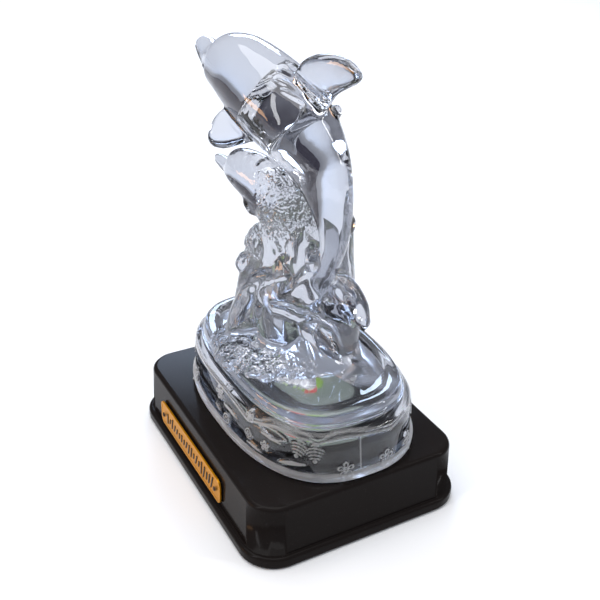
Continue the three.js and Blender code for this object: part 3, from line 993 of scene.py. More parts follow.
@dataclass
class Mother(Dolphin):
    """The large dolphin, its fins and its flukes."""

    yaw: float = 11.0
    faces: tuple[int, int] = (72, 160)
    stations: tuple[tuple[float, ...], ...] = (
        (-48.6, 143.7, 0.3, 0.3, 0.3),
        (-47.8, 143.1, 2.6, 2.6, 2.6),
        (-45.2, 141.6, 3.8, 3.8, 3.6),
        (-42.5, 140.4, 4.6, 4.4, 4.6),
        (-39.5, 139.6, 5.8, 5.2, 5.8),
        (-36.6, 139.2, 7.4, 6.6, 7.0),
        (-33.6, 138.9, 9.2, 9.6, 8.7),
        (-25.0, 138.0, 11.5, 11.9, 11.4),
        (-15.8, 135.2, 12.7, 13.0, 13.0),
        (-6.0, 131.4, 13.1, 13.6, 13.5),
        (2.6, 126.6, 12.1, 12.9, 12.3),
        (10.2, 120.4, 10.0, 10.9, 10.2),
        (14.6, 114.1, 8.2, 9.2, 8.2),
        (17.5, 107.5, 6.5, 7.4, 6.6),
        (19.0, 100.8, 5.0, 5.8, 5.2),
        (18.8, 94.0, 3.9, 4.6, 4.2),
        (16.8, 86.5, 3.6, 3.4, 3.6),
        (14.6, 79.5, 3.4, 2.6, 2.8),
        (13.6, 75.0, 0.3, 0.3, 0.3),
    )
    fin_outline: tuple[tuple[float, float], ...] = (
        (0.5, 141.5), (4.2, 147.4), (9.5, 150.6), (15.6, 152.2), (21.4, 152.4), (26.0, 151.2),
        (28.9, 149.0), (27.8, 146.8), (23.2, 144.0), (18.4, 140.8), (14.6, 136.0), (9.0, 129.0),
        (1.0, 132.0),
    )
    fin_thickness: float = 4.4
    fin_middle: tuple[float, float] = (10.0, 143.0)
    fin_root: float = 1.35
    fin_taper: float = 0.55
    fin_reach: float = 30.0
    flipper_outline: tuple[tuple[float, float], ...] = (
        (-7.6, -3.0), (-7.9, 2.6), (-6.4, 6.4), (-3.8, 9.6), (-1.0, 12.0), (2.2, 12.0),
        (4.6, 9.4), (5.6, 6.0), (6.6, 1.0), (6.8, -3.0),
    )
    flipper_thickness: float = 3.6
    flipper_middle: tuple[float, float] = (-0.5, 3.5)
    flipper_spot: Point = (-14.9, -8.2, 125.2)
    flipper_along: Point = (0.87, 0, -0.5)
    flipper_across: Point = (-0.9, -12, -4.4)
    fluke_half: tuple[tuple[float, float], ...] = (
        (3.0, -4.0), (5.2, 2.0), (8.4, 6.6), (11.8, 11.2), (8.8, 15.0), (4.0, 16.4),
    )
    fluke_thickness: float = 4.6
    fluke_curl: float = 0.028
    fluke_notch: float = 15.0
    fluke_middle: tuple[float, float] = (0, 9.0)
    fluke_spot: Point = (14.6, 1.2, 85.4)
    fluke_along: Point = (0.46, 0.89, 0)
    fluke_across: Point = (-0.48, -0.14, -0.86)
    eye: tuple[float, float] = (-35.6, 138.9)
    cuts: tuple[Cut, ...] = (
        Cut((-48.6, 143.2), (-40.5, 138.0), 0.8, 0.4),
        Cut((-3.0, 144.8), (13.5, 139.6), 0.9, 0.4),
        Cut((-1.0, 142.6), (14.2, 137.6), 0.9, 0.35),
        Cut((3.0, 140.0), (14.6, 135.6), 0.9, 0.3),
    )
    # The drops that hang on the back and the tail: place and half sizes.
    droplets: tuple[tuple[Point, Point], ...] = (
        ((10.0, 8.8, 133.4), (1.8, 1.8, 2.2)),
        ((20.9, 7.8, 101.8), (2.0, 2.0, 3.6)),
    )

    def pieces(self) -> list[bmesh.types.BMesh]:
        """The body, fins, flukes and drops."""
        fin = pillow(self.fin_outline, self.fin_thickness, self.fin_middle)
        points = coords(fin)
        taper = self.fin_root - self.fin_taper * points[:, 0] / self.fin_reach
        fin = place(fin, np.column_stack([points[:, 0], points[:, 2] * taper, points[:, 1]]))
        leaping = self.set_down([self.body(), fin, *self.flippers()])
        drops = [lump(spot, radii, 0.0, 3) for spot, radii in self.droplets]
        return [*leaping, self.flukes(), *drops]

    def flukes(self) -> bmesh.types.BMesh:
        """The tail's flukes, hanging against the wave."""
        other = [(-u, v) for u, v in reversed(self.fluke_half)]
        plate = pillow([*self.fluke_half, (0, self.fluke_notch), *other],
                       self.fluke_thickness, self.fluke_middle)
        points = coords(plate)
        points[:, 2] -= self.fluke_curl * points[:, 0] ** 2
        place(plate, points)
        return lay(plate, self.fluke_spot, self.fluke_along, self.fluke_across)


@dataclass
class Calf(Dolphin):
    """The small dolphin under the large one."""

    yaw: float = 17.0
    side: float = -1.5
    faces: tuple[int, int] = (48, 96)
    stations: tuple[tuple[float, ...], ...] = (
        (-35.4, 108.4, 0.3, 0.3, 0.3),
        (-34.6, 108.2, 1.5, 1.5, 1.6),
        (-31.4, 107.5, 2.3, 2.0, 2.3),
        (-28.4, 107.0, 3.0, 2.3, 3.1),
        (-26.6, 106.9, 4.2, 4.6, 4.0),
        (-24.4, 107.0, 5.4, 7.0, 5.0),
        (-20.0, 106.6, 6.6, 8.6, 6.2),
        (-14.5, 104.8, 7.2, 10.2, 6.8),
        (-9.5, 101.0, 7.2, 11.2, 6.6),
        (-6.0, 95.0, 5.8, 8.6, 5.4),
        (-5.0, 88.0, 0.4, 0.4, 0.4),
    )
    flipper_outline: tuple[tuple[float, float], ...] = (
        (-3.8, -2.0), (-4.2, 0.6), (-3.0, 2.8), (0, 4.0), (2.8, 3.8), (3.8, 2.0), (3.6, -2.0),
    )
    flipper_thickness: float = 3.8
    flipper_middle: tuple[float, float] = (0, 1.0)
    flipper_spot: Point = (-11.8, -4.2, 100.6)
    flipper_along: Point = (0.85, 0, -0.52)
    flipper_across: Point = (2.5, -3, -5.5)
    eye: tuple[float, float] = (-20.4, 105.4)
    cuts: tuple[Cut, ...] = (
        Cut((-35.4, 107.9), (-27.0, 105.4), 0.7, 0.35),
        Cut((-21.5, 113.0), (-19.5, 109.6), 0.7, 0.25),
        Cut((-19.0, 113.8), (-17.0, 110.2), 0.7, 0.25),
        Cut((-16.5, 114.2), (-14.6, 110.8), 0.7, 0.25),
    )

    def pieces(self) -> list[bmesh.types.BMesh]:
        """The body and flippers."""
        return self.set_down([self.body(), *self.flippers()])


@dataclass
class Wave:
    """The wave: a core of hanging folds with tongues of water round it, crests and foam."""

    # Height, then x, y and radius of the core.
    sections: tuple[tuple[float, float, float, float], ...] = (
        (44.6, -3.4, 2.0, 23.0),
        (48.0, -3.4, 2.0, 22.2),
        (53.0, -3.6, 2.0, 18.6),
        (60.0, -3.8, 1.8, 15.4),
        (68.0, -4.0, 1.4, 13.0),
        (78.0, -4.0, 1.0, 11.4),
        (88.0, -4.0, 0.6, 10.4),
        (97.0, -4.2, 0.4, 9.6),
        (103.5, -4.6, 0.2, 7.8),
        (107.5, -4.8, 0.0, 3.6),
    )
    folds: int = 9
    fold_depth: float = 0.17
    fold_twist: float = 0.9
    fold_start: float = 0.22
    swell: float = 0.05
    tongues: tuple[Tongue, ...] = (
        Tongue(((-12.5, -12, 43.5, 7), (-12, -11.6, 52, 7.8), (-10.6, -10, 64, 6.4),
                (-9.8, -8.4, 75, 5.8), (-8.8, -6.8, 84, 5.4), (-8, -5.6, 92, 4.2)), 0.95, 0.06),
        Tongue(((2, -6, 50, 5), (3, -6, 60, 9.6), (4, -4.8, 72, 8.4), (5.4, -3, 82, 6),
                (6.8, -1.4, 91, 3.6), (7.8, 0, 99, 1.2)), 0.8, 0.08),
        Tongue(((9, 11, 43.5, 7), (8.4, 12, 54, 8.4), (5.6, 13.2, 68, 6.8),
                (3.6, 14, 82, 6.2), (3.8, 14.6, 93, 4.8), (4.8, 15, 103, 1.6)), 0.9, 0.06),
        Tongue(((-17, 8, 43.5, 7), (-16, 8, 56, 8), (-14, 7, 72, 6.6), (-13, 5.4, 86, 6.4),
                (-12, 4, 98, 3.2)), 0.9, 0.08),
        Tongue(((-4, 20, 43.5, 7), (-5, 17, 56, 7.8), (-6, 13.6, 72, 6.4), (-6, 11, 86, 5),
                (-5, 9, 97, 1.8)), 0.9, 0.08),
    )
    crest: Tongue = Tongue(
        ((-11, -21, 49, 1.6), (-8.8, -16.6, 63, 2), (-6, -12, 73, 2.2), (0.6, -8.8, 78.6, 2.2),
         (8, -4.4, 83, 1.2)), sides=24)
    wing: Tongue = Tongue(
        ((10, 9.5, 79, 2.4), (13.6, 12.4, 75.5, 3.6), (17.2, 14.2, 70.5, 3.8),
         (20.4, 14.6, 65.5, 3.2), (21.8, 14.2, 61.5, 1.6)), 0.8, sides=32)
    leaf_outline: tuple[tuple[float, float], ...] = (
        (-10, 0), (-6, 3), (0, 4), (5.6, 2.8), (10, 0), (5.6, -2.4), (0, -3.4), (-6, -2.8))
    leaf_thickness: float = 3.6
    leaf_middle: tuple[float, float] = (0, 0.3)
    leaf_spot: Point = (15.6, 0.8, 59.6)
    leaf_along: Point = (12.2, 8.9, -11.4)
    leaf_across: Point = (0.6, 0.2, 0.5)
    # The rounded heads of the crests: place, half sizes and dents.
    heads: tuple[tuple[Point, Point, float], ...] = (
        ((-8.7, -6.6, 86.0), (6.2, 6.2, 6.6), 0.06),
        ((-12.2, -10.6, 77.4), (4.4, 4.4, 4.2), 0.04),
        ((-5.0, -3.6, 99.0), (7.0, 7.0, 7.4), 0.06),
        ((8.0, 2.0, 87.0), (3.8, 4.4, 5.6), 0),
        ((15.0, -1.4, 88.6), (2.6, 2.6, 3.8), 0),
    )
    mound_spot: Point = (-4, -14.4, 48.6)
    mound_radii: Point = (17, 10, 5.4)
    mound_swell: float = 0.1
    hem_count: int = 8
    hem_spot: Point = (-4, -14, 47.8)
    hem_radii: tuple[float, float] = (16, 9.6)
    hem_start: float = 205.0
    hem_turn: float = 140.0
    bead_radius: float = 3.2
    bead_uneven: float = 0.5
    bead_dent: float = 0.03
    bubble_count: int = 70
    bubble_spot: Point = (-4, -14.4, 48.4)
    bubble_spread: Point = (16, 9.6, 5.2)
    bubble_radius: tuple[float, float] = (0.9, 1.9)
    seed: int = 11
    crest_line: Tongue = Tongue(
        ((-5.7, -22.8, 51.7, 0.8), (-9.0, -18.2, 55.5, 0.9), (-7.7, -15.9, 61.0, 0.9),
         (-6.1, -13.6, 66.7, 0.9), (-3.9, -11.2, 72.5, 0.9), (3.1, -10.3, 78.3, 0.9),
         (7.9, -7.7, 81.5, 0.8), (10.1, -3.5, 83.0, 0.6)), sides=16, rows=160)
    rolled_lip: Tongue = Tongue(
        ((5.5, -12.8, 72.4, 0.8), (6.9, -11.8, 71.4, 1.3), (9.8, -9.4, 71.5, 1.6),
         (11.5, -5.6, 69.4, 1.7), (11.9, -0.3, 66.0, 1.7), (12.6, 3.2, 63.4, 1.7),
         (13.7, 6.8, 60.2, 1.5), (15.3, 8.2, 55.7, 1.3), (17.0, 9.8, 49.7, 0.9)),
        sides=20, rows=160)
    pocket: tuple[Point, ...] = (
        (17.6, 6.1, 78.5), (19.0, 8.7, 75.7), (20.1, 11.9, 71.0), (22.3, 13.7, 68.0))
    # Place, radius and depth.
    hollows: tuple[tuple[Point, float, float], ...] = (
        ((-0.5, -13.0, 67.5), 4.2, 1.8), ((9.6, -6.4, 76.4), 3.6, 1.2),
        ((5.4, -5.6, 88.0), 3.4, 1.0), ((-5.0, -13.0, 57.0), 4.4, 1.3),
    )

    def core(self) -> bmesh.types.BMesh:
        """The core, fluted by folds that wander as they rise."""
        bm, high, turn, reach = ball(120, 96)
        axis = Curve([(x, y, z) for z, x, y, _ in self.sections]).at(high)
        girth = Curve([(radius, 0, z) for z, _, _, radius in self.sections]).at(high)[:, 0]
        wander = self.folds * turn / 2 + self.fold_twist * np.sin(3 * high)
        valley = 1 - np.abs(np.sin(wander))
        fade = np.sin(math.pi * np.minimum(1, self.fold_start + high))
        share = (1 - self.fold_depth * fade * valley ** 2
                 + self.swell * np.sin(2 * turn + 4 * high))
        radius = girth * share * np.minimum(1.0, reach * 6)
        axis[:, 0] += radius * np.cos(turn)
        axis[:, 1] += radius * np.sin(turn)
        return place(bm, axis)

    def crests(self) -> list[bmesh.types.BMesh]:
        """A leaf-shaped splash, the rounded heads of the crests, a crest line and a lip."""
        leaf = pillow(self.leaf_outline, self.leaf_thickness, self.leaf_middle)
        return [
            lay(leaf, self.leaf_spot, self.leaf_along, self.leaf_across),
            *(lump(spot, radii, dent) for spot, radii, dent in self.heads),
            self.crest_line.build(),
            self.rolled_lip.build(),
        ]

    def foam(self) -> list[bmesh.types.BMesh]:
        """A low lumpy mound at the front foot, with beads and small bubbles on it."""
        return [self.mound(), *self.hem(), *self.bubbles()]

    def mound(self) -> bmesh.types.BMesh:
        """The lumpy mound alone."""
        bm, _, _, _ = ball(64, 40)
        points = coords(bm)
        x, y = points[:, 0], points[:, 1]
        swell = np.abs(np.sin(4.2 * x + 1) * np.cos(2 * x - 4.6 * y))
        points = points * (1 + self.mound_swell * swell)[:, None] * np.array(self.mound_radii)
        return place(bm, points + np.array(self.mound_spot))

    def hem(self) -> list[bmesh.types.BMesh]:
        """Beads of water along the mound's front edge."""
        made = []
        (x, y, z), (long, wide) = self.hem_spot, self.hem_radii
        for index in range(self.hem_count):
            turn = math.radians(self.hem_start + self.hem_turn * index / (self.hem_count - 1))
            radius = self.bead_radius + self.bead_uneven * math.sin(2.3 * index)
            spot = (x + long * math.cos(turn), y + wide * math.sin(turn),
                    z + self.bead_uneven * math.cos(1.9 * index))
            made.append(lump(spot, (radius,) * 3, self.bead_dent, 3))
        return made

    def bubbles(self) -> list[bmesh.types.BMesh]:
        """Small bubbles strewn over the mound."""
        draw = random.Random(self.seed)
        made = []
        (x, y, z), (long, wide, tall) = self.bubble_spot, self.bubble_spread
        for _ in range(self.bubble_count):
            turn, out = draw.uniform(0, math.tau), math.sqrt(draw.uniform(0.05, 1))
            rise = math.sqrt(max(0.05, 1 - out * out)) * tall
            radius = draw.uniform(*self.bubble_radius)
            spot = (x + long * out * math.cos(turn), y + wide * out * math.sin(turn), z + rise)
            made.append(lump(spot, (radius,) * 3, 0.0, 2))
        return made

    def pieces(self) -> list[bmesh.types.BMesh]:
        """Every form of the wave."""
        risen = [form.build() for form in (*self.tongues, self.crest, self.wing)]
        return [self.core(), *risen, *self.crests(), *self.foam()]


@dataclass
class OvalBase:
    """The clear oval base, open below, with a ring, a well and relief round its wall."""

    half_length: float = 48.0
    half_width: float = 31.9
    offset_y: float = 1.8
    squareness: float = 2.5
    bottom: float = 26.3
    shoulder: float = 43.6
    top: float = 48.8
    recess: float = 1.9
    wall: float = 3.2
    deck: float = 4.4
    core: float = 12.0
    end_lean: float = 1.8
    side_lean: float = 1.6
    sides: int = 532
    front: float = 318.0
    crowding: float = 0.55
    roof_rows: int = 3
    foot_rows: int = 6
    wall_rows: int = 8
    roof_frost: float = 0.3
    rim_frost: float = 0.65
    rim_mottle: float = 0.15
    rim_height: float = 3.2
    rim_inset: float = 0.9
    relief_foot: float = 2.0
    relief_top: float = 0.4

    def profile(self) -> list[tuple[float, float, int]]:
        """Inset, height and steps to the next point, from the roof's middle to the deck's."""
        deck = self.top - self.recess
        roof = deck - self.deck
        radius = self.half_width
        return [
            (radius, roof, 2), (self.wall + 1.6, roof, 2), (self.wall, roof - 1.6, 2),
            (self.wall - 0.7, self.bottom, 1), (0.5, self.bottom, 2),
            (0.0, self.bottom + 0.7, 2), (0.1, self.bottom + 2.3, 2),
            (0.8, self.bottom + 3.1, 34), (1.5, self.shoulder - 0.9, 2),
            (2.1, self.shoulder - 0.3, 2), (3.1, self.shoulder + 0.3, 2),
            (3.3, self.shoulder + 1.0, 2), (2.7, self.shoulder + 1.8, 2),
            (3.1, self.shoulder + 2.2, 2), (3.4, self.top - 1.4, 2),
            (3.9, self.top - 0.3, 2), (4.9, self.top, 2), (6.2, self.top - 0.3, 2),
            (7.0, deck + 0.5, 2), (8.2, deck, 3), (radius, deck, 0),
        ]

    def rings(self) -> np.ndarray:
        """The profile divided into its steps, as rows of inset and height."""
        profile = self.profile()
        made: list[tuple[float, float]] = []
        for (inset, z, steps), (next_inset, next_z, _) in zip(profile, profile[1:]):
            for step in range(steps):
                share = step / steps
                made.append((inset + (next_inset - inset) * share, z + (next_z - z) * share))
        made.append(profile[-1][:2])
        return np.array(made)

    def outline(self, turn: np.ndarray, inset: np.ndarray) -> tuple[np.ndarray, np.ndarray]:
        """Places on the squared oval.

        Args:
            turn: turn round the base in radians.
            inset: distance in from the widest outline.

        Returns:
            The X and the Y of each place.
        """
        power = 2 / (self.squareness + 0.1 * np.minimum(inset, 6))
        held = np.minimum(inset, self.half_width - self.core)
        cosine, sine = np.cos(turn), np.sin(turn)
        x = np.sign(cosine) * np.abs(cosine) ** power * (self.half_length - self.end_lean * held)
        y = np.sign(sine) * np.abs(sine) ** power * (self.half_width - self.side_lean * held)
        return x, y

    def way_round(self) -> tuple[np.ndarray, np.ndarray]:
        """Turns in radians, and the distance round the wall to each of them."""
        turn = np.linspace(0.0, math.tau, 7201)
        x, y = self.outline(turn, np.full_like(turn, 0.8))
        return turn, np.concatenate([[0.0], np.cumsum(np.hypot(np.diff(x), np.diff(y)))])

    def columns(self) -> np.ndarray:
        """The turn of each column of the sheet, closer together where the relief is finest."""
        turn, way = self.way_round()
        weight = 1.0 + self.crowding * np.cos(turn - math.radians(self.front))
        count = np.concatenate([[0.0], np.cumsum(np.diff(way) * weight[1:])])
        return np.interp(np.linspace(0.0, count[-1], self.sides + 1), count, turn)

    def build(self) -> bmesh.types.BMesh:
        """Makes the base as a bent sheet closed at its seam and poles, with its frosting."""
        rings, columns = self.rings(), self.columns()
        bm = bmesh.new()
        bmesh.ops.create_grid(bm, x_segments=self.sides, y_segments=len(rings) - 1, size=0.5)
        points = coords(bm)
        turn = columns[np.rint((points[:, 0] + 0.5) * self.sides).astype(int)]
        row = np.rint((points[:, 1] + 0.5) * (len(rings) - 1)).astype(int)
        inset, height = rings[row].T
        proud, frost = self.skin(turn, row, inset, height)
        reach = self.half_width - inset
        fade = np.where(reach < self.core, reach / self.core, 1.0)
        x, y = self.outline(turn, inset)
        out = np.stack([np.cos(turn) / self.half_length, np.sin(turn) / self.half_width], axis=1)
        out /= np.linalg.norm(out, axis=1, keepdims=True)
        x, y = x * fade + out[:, 0] * proud, y * fade + self.offset_y + out[:, 1] * proud
        place(bm, np.column_stack([x, y, height]))
        layer = bm.verts.layers.float.new("frost")
        for vert, value in zip(bm.verts, frost):
            vert[layer] = value
        bmesh.ops.remove_doubles(bm, verts=bm.verts, dist=1e-4)
        bmesh.ops.recalc_face_normals(bm, faces=bm.faces)
        return bm

    def skin(self, turn: np.ndarray, row: np.ndarray, inset: np.ndarray,
             height: np.ndarray) -> tuple[np.ndarray, np.ndarray]:
        """The relief and the frosting of the sheet.

        Args:
            turn: turn round the base in radians.
            row: row of the sheet, counted from the roof's middle.
            inset, height: the profile's place in that row.

        Returns:
            How far the sheet stands proud, and its frosting from 0 to 1.
        """
        above = height > self.bottom + self.relief_foot
        below = height < self.shoulder + self.relief_top
        wall = (row > self.wall_rows) & above & below
        proud, frost = Relief(self).height(turn, height)
        proud, frost = np.where(wall, proud, 0.0), np.where(wall, frost, 0.0)
        rim = ((row > self.foot_rows) & (height < self.bottom + self.rim_height)
               & (inset < self.rim_inset))
        mottle = self.rim_frost + self.rim_mottle * np.sin(37 * turn) * np.sin(11 * turn + height)
        frost = np.where(rim, np.maximum(frost, mottle), frost)
        return proud, np.where(row < self.roof_rows, self.roof_frost, frost)


@dataclass(frozen=True)
class Flower:
    """A flower of rimmed petals round a bead."""

    petals: int = 5
    reach: float = 0.64
    length: float = 0.36
    width: float = 0.25
    flare: float = 0.06
    half_size: float = 0.3
    bead_line: float = 0.8
    rim_line: float = 0.85
    fill: float = 0.3

    def height(self, u: np.ndarray, v: np.ndarray, line: float) -> np.ndarray:
        """Its height, from 0 to 1.

        Args:
            u, v: places across and up, 1 at its rim.
            line: half the width of its lines, in its own size.

        Returns:
            The height at each place.
        """
        body = bump(np.hypot(u, v), line * self.bead_line)
        for petal in range(self.petals):
            angle = math.radians(90 + 360 / self.petals * petal)
            out = (u * math.cos(angle) + v * math.sin(angle) - self.reach) / self.length
            side = -u * math.sin(angle) + v * math.cos(angle)
            rim = np.hypot(out, side / (self.width + self.flare * np.clip(out, -1, 1)))
            edge = bump(np.abs(rim - 1) * self.half_size, line * self.rim_line)
            body = np.maximum(np.maximum(body, edge), self.fill * (rim < 1))
        return body


@dataclass(frozen=True)
class Fern:
    """A fern of arched ribs over a small ring."""

    ribs: tuple[float, ...] = (0.45, 0.94, 0.86, 0.74, 0.56)
    pitch: float = 0.38
    droop: float = 0.36
    rib_line: float = 0.9
    ring: float = 0.13
    ring_drop: float = 0.92

    def height(self, u: np.ndarray, v: np.ndarray, line: float) -> np.ndarray:
        """Its height, from 0 to 1.

        Args:
            u, v: places across and up, 1 at its rim.
            line: half the width of its lines, in its own size.

        Returns:
            The height at each place.
        """
        body = bump(np.abs(np.hypot(u, v + self.ring_drop) - self.ring), line)
        for rib, wide in enumerate(self.ribs):
            arch = 1.0 - rib * self.pitch - self.droop * wide * (u / wide) ** 2
            held = smoothstep(wide + line, wide - line, np.abs(u))
            body = np.maximum(body, bump(np.abs(v - arch), line * self.rib_line) * held)
        return body


@dataclass(frozen=True)
class Swirl:
    """A spiral line."""

    coils: float = 2.4
    coil_line: float = 1.7
    rim: tuple[float, float] = (1.05, 0.95)
    eye: tuple[float, float] = (0.04, 0.12)

    def height(self, u: np.ndarray, v: np.ndarray, line: float) -> np.ndarray:
        """Its height, from 0 to 1.

        Args:
            u, v: places across and up, 1 at its rim.
            line: half the width of its line, in its own size.

        Returns:
            The height at each place.
        """
        reach, turn = np.hypot(u, v), np.arctan2(v, u)
        spiral = (reach * self.coils - turn / math.tau) % 1.0
        inside = smoothstep(*self.rim, reach) * smoothstep(*self.eye, reach)
        return bump(np.abs(spiral - 0.5), line * self.coil_line) * inside


@dataclass(frozen=True)
class Lens:
    """A rimmed hollow shaped like an eye."""

    half_width: float = 0.3
    depth: float = 0.5
    edge: float = 0.1
    end: float = 1.02

    def height(self, u: np.ndarray, v: np.ndarray, line: float) -> np.ndarray:
        """Its height, from -1 to 1.

        Args:
            u, v: places across and up, 1 at its ends.
            line: half the width of its rim, in its own size.

        Returns:
            The height at each place.
        """
        outline = self.half_width * (1 - np.clip(np.abs(u), 0, 1) ** 2)
        rim = bump(np.abs(np.abs(v) - outline), line) * (np.abs(u) < self.end)
        return rim - self.depth * smoothstep(0.0, self.edge, outline - np.abs(v)) * (1 - rim)


@dataclass(frozen=True)
class Stroke:
    """A bent stroke with pointed ends."""

    half_width: float = 0.17
    bend: float = 0.1
    edge: float = 0.1

    def height(self, u: np.ndarray, v: np.ndarray, line: float) -> np.ndarray:
        """Its height, from 0 to 1.

        Args:
            u, v: places across and up, 1 at its ends.
            line: half the width of the other ornaments' lines, which it doesn't need.

        Returns:
            The height at each place.
        """
        taper = 1 - np.clip(np.abs(u), 0, 1) ** 2
        bent = np.abs(v - self.bend * taper)
        return smoothstep(0.0, self.edge, self.half_width * taper - bent) * (np.abs(u) < 1)


class Motif(Enum):
    """The ornaments cast into the base's wall."""

    FLOWER = Flower()
    FERN = Fern()
    SWIRL = Swirl()
    LENS = Lens()
    STROKE = Stroke()


@dataclass(frozen=True)
class Ornament:
    """One ornament: its kind, its turn round the base in degrees, its height, size and tilt."""

    kind: Motif
    turn: float
    z: float
    size: float
    tilt: float = 0.0


@dataclass
class Relief:
    """The low relief round the base's wall, as a height and a frosting."""

    base: OvalBase
    # The front's ornaments first, then those of the hidden part.
    ornaments: tuple[Ornament, ...] = (
        Ornament(Motif.FLOWER, 350.0, 30.9, 2.6, 0),
        Ornament(Motif.FLOWER, 8.0, 30.7, 2.6, -8),
        Ornament(Motif.FLOWER, 290.5, 41.4, 1.9, 10),
        Ornament(Motif.FLOWER, 270.5, 38.8, 2.3, 20),
        Ornament(Motif.FLOWER, 301.5, 34.2, 1.7, 4),
        Ornament(Motif.FERN, 332.5, 37.4, 3.2, 0),
        Ornament(Motif.FERN, 323.0, 38.2, 3.2, -18),
        Ornament(Motif.SWIRL, 275.0, 31.8, 2.5),
        Ornament(Motif.SWIRL, 290.5, 34.8, 2.1),
        Ornament(Motif.LENS, 306.0, 40.3, 5.6, -4),
        Ornament(Motif.STROKE, 305.0, 37.9, 6.0, -5),
        Ornament(Motif.STROKE, 277.0, 36.1, 6.3, -3),
        Ornament(Motif.STROKE, 270.0, 32.4, 2.9, -17),
        Ornament(Motif.STROKE, 294.5, 30.9, 4.8, -4),
        Ornament(Motif.STROKE, 319.0, 31.6, 6.6, 10),
        Ornament(Motif.FLOWER, 28.0, 31.0, 2.6, 12),
        Ornament(Motif.FERN, 50.0, 36.8, 3.2, -16),
        Ornament(Motif.FLOWER, 72.0, 31.2, 2.6, 0),
        Ornament(Motif.SWIRL, 96.0, 35.0, 2.5),
        Ornament(Motif.STROKE, 110.0, 31.6, 6.0, 6),
        Ornament(Motif.FERN, 128.0, 36.8, 3.2, 12),
        Ornament(Motif.FLOWER, 150.0, 31.2, 2.6, 15),
        Ornament(Motif.LENS, 166.0, 38.4, 5.6, 4),
        Ornament(Motif.FLOWER, 186.0, 31.2, 2.6, 0),
        Ornament(Motif.FERN, 206.0, 36.8, 3.2, -12),
        Ornament(Motif.SWIRL, 226.0, 35.0, 2.5),
        Ornament(Motif.FLOWER, 246.0, 31.2, 2.6, 10),
    )
    # The scalloped upper edge: turn in degrees and height.
    edge_line: tuple[tuple[float, float], ...] = (
        (12.0, 40.4), (24.0, 41.8), (45.0, 42.6), (68.0, 41.8), (82.0, 40.4), (100.0, 41.8),
        (125.0, 42.6), (150.0, 41.6), (165.0, 40.4), (185.0, 41.6), (205.0, 42.5),
        (225.0, 41.8), (240.0, 40.8), (262.0, 41.4), (278.5, 41.0), (285.0, 39.8),
        (289.0, 39.1), (294.0, 40.5), (303.0, 42.5), (313.0, 42.8), (322.0, 42.3),
        (329.5, 41.8), (333.5, 41.0), (338.5, 41.7), (346.0, 42.4), (353.5, 42.4),
        (361.5, 41.5), (372.0, 40.4),
    )
    line: float = 0.62
    proud: float = 0.6
    layer: float = 0.3
    soft: float = 0.5
    ridge: float = 0.4
    ridge_gap: float = 1.1
    ridge_frost: float = 0.8
    second_ridge: float = 0.7
    room: float = 1.6
    frost: float = 0.85
    frosted: tuple[float, float] = (0.3, 0.9)
    seam_turn: float = 357.4
    seam_width: float = 0.45
    seam_proud: float = 0.2
    seam_frost: float = 0.6

    def __post_init__(self) -> None:
        """Measures the way round the wall once."""
        self.turns, self.way = self.base.way_round()

    def along(self, turn: np.ndarray) -> np.ndarray:
        """Distance round the wall at turns in radians."""
        return np.interp(np.asarray(turn) % math.tau, self.turns, self.way)

    def arc(self, turn: np.ndarray, centre: float) -> np.ndarray:
        """Distance round the wall from a centre in degrees, for turns in radians."""
        whole = self.way[-1]
        away = self.along(turn) - self.along(math.radians(centre))
        return (away + whole / 2) % whole - whole / 2

    def height(self, turn: np.ndarray, z: np.ndarray) -> tuple[np.ndarray, np.ndarray]:
        """The relief at places on the wall.

        Args:
            turn: turn round the base in radians.
            z: height.

        Returns:
            How far the surface stands proud, and its frosting from 0 to 1.
        """
        line = Curve(self.edge_line).at(np.linspace(0.0, 1.0, 800))
        start = self.edge_line[0][0]
        edge = np.interp((np.degrees(turn) - start) % 360 + start, line[:, 0], line[:, 1])
        ridge = np.maximum(
            bump(np.abs(z - edge), self.line),
            self.second_ridge * bump(np.abs(z - edge - self.ridge_gap), self.line))
        proud = self.layer * smoothstep(self.soft, -self.soft, z - edge) + self.ridge * ridge
        frost = self.ridge_frost * ridge
        for ornament in self.ornaments:
            u = self.arc(turn, ornament.turn)
            v = z - ornament.z
            near = np.hypot(u, v) < ornament.size * self.room
            tilt = math.radians(ornament.tilt)
            across = u * math.cos(tilt) + v * math.sin(tilt)
            upward = -u * math.sin(tilt) + v * math.cos(tilt)
            shape = np.where(near, ornament.kind.value.height(
                across / ornament.size, upward / ornament.size,
                self.line / ornament.size), 0.0)
            proud = proud + self.proud * shape
            frost = np.maximum(frost, self.frost * smoothstep(*self.frosted, shape))
        seam = bump(np.abs(self.arc(turn, self.seam_turn)), self.seam_width) * (z < edge)
        frost = np.maximum(frost, self.seam_frost * seam)
        return proud + self.seam_proud * seam, np.clip(frost, 0, 1)


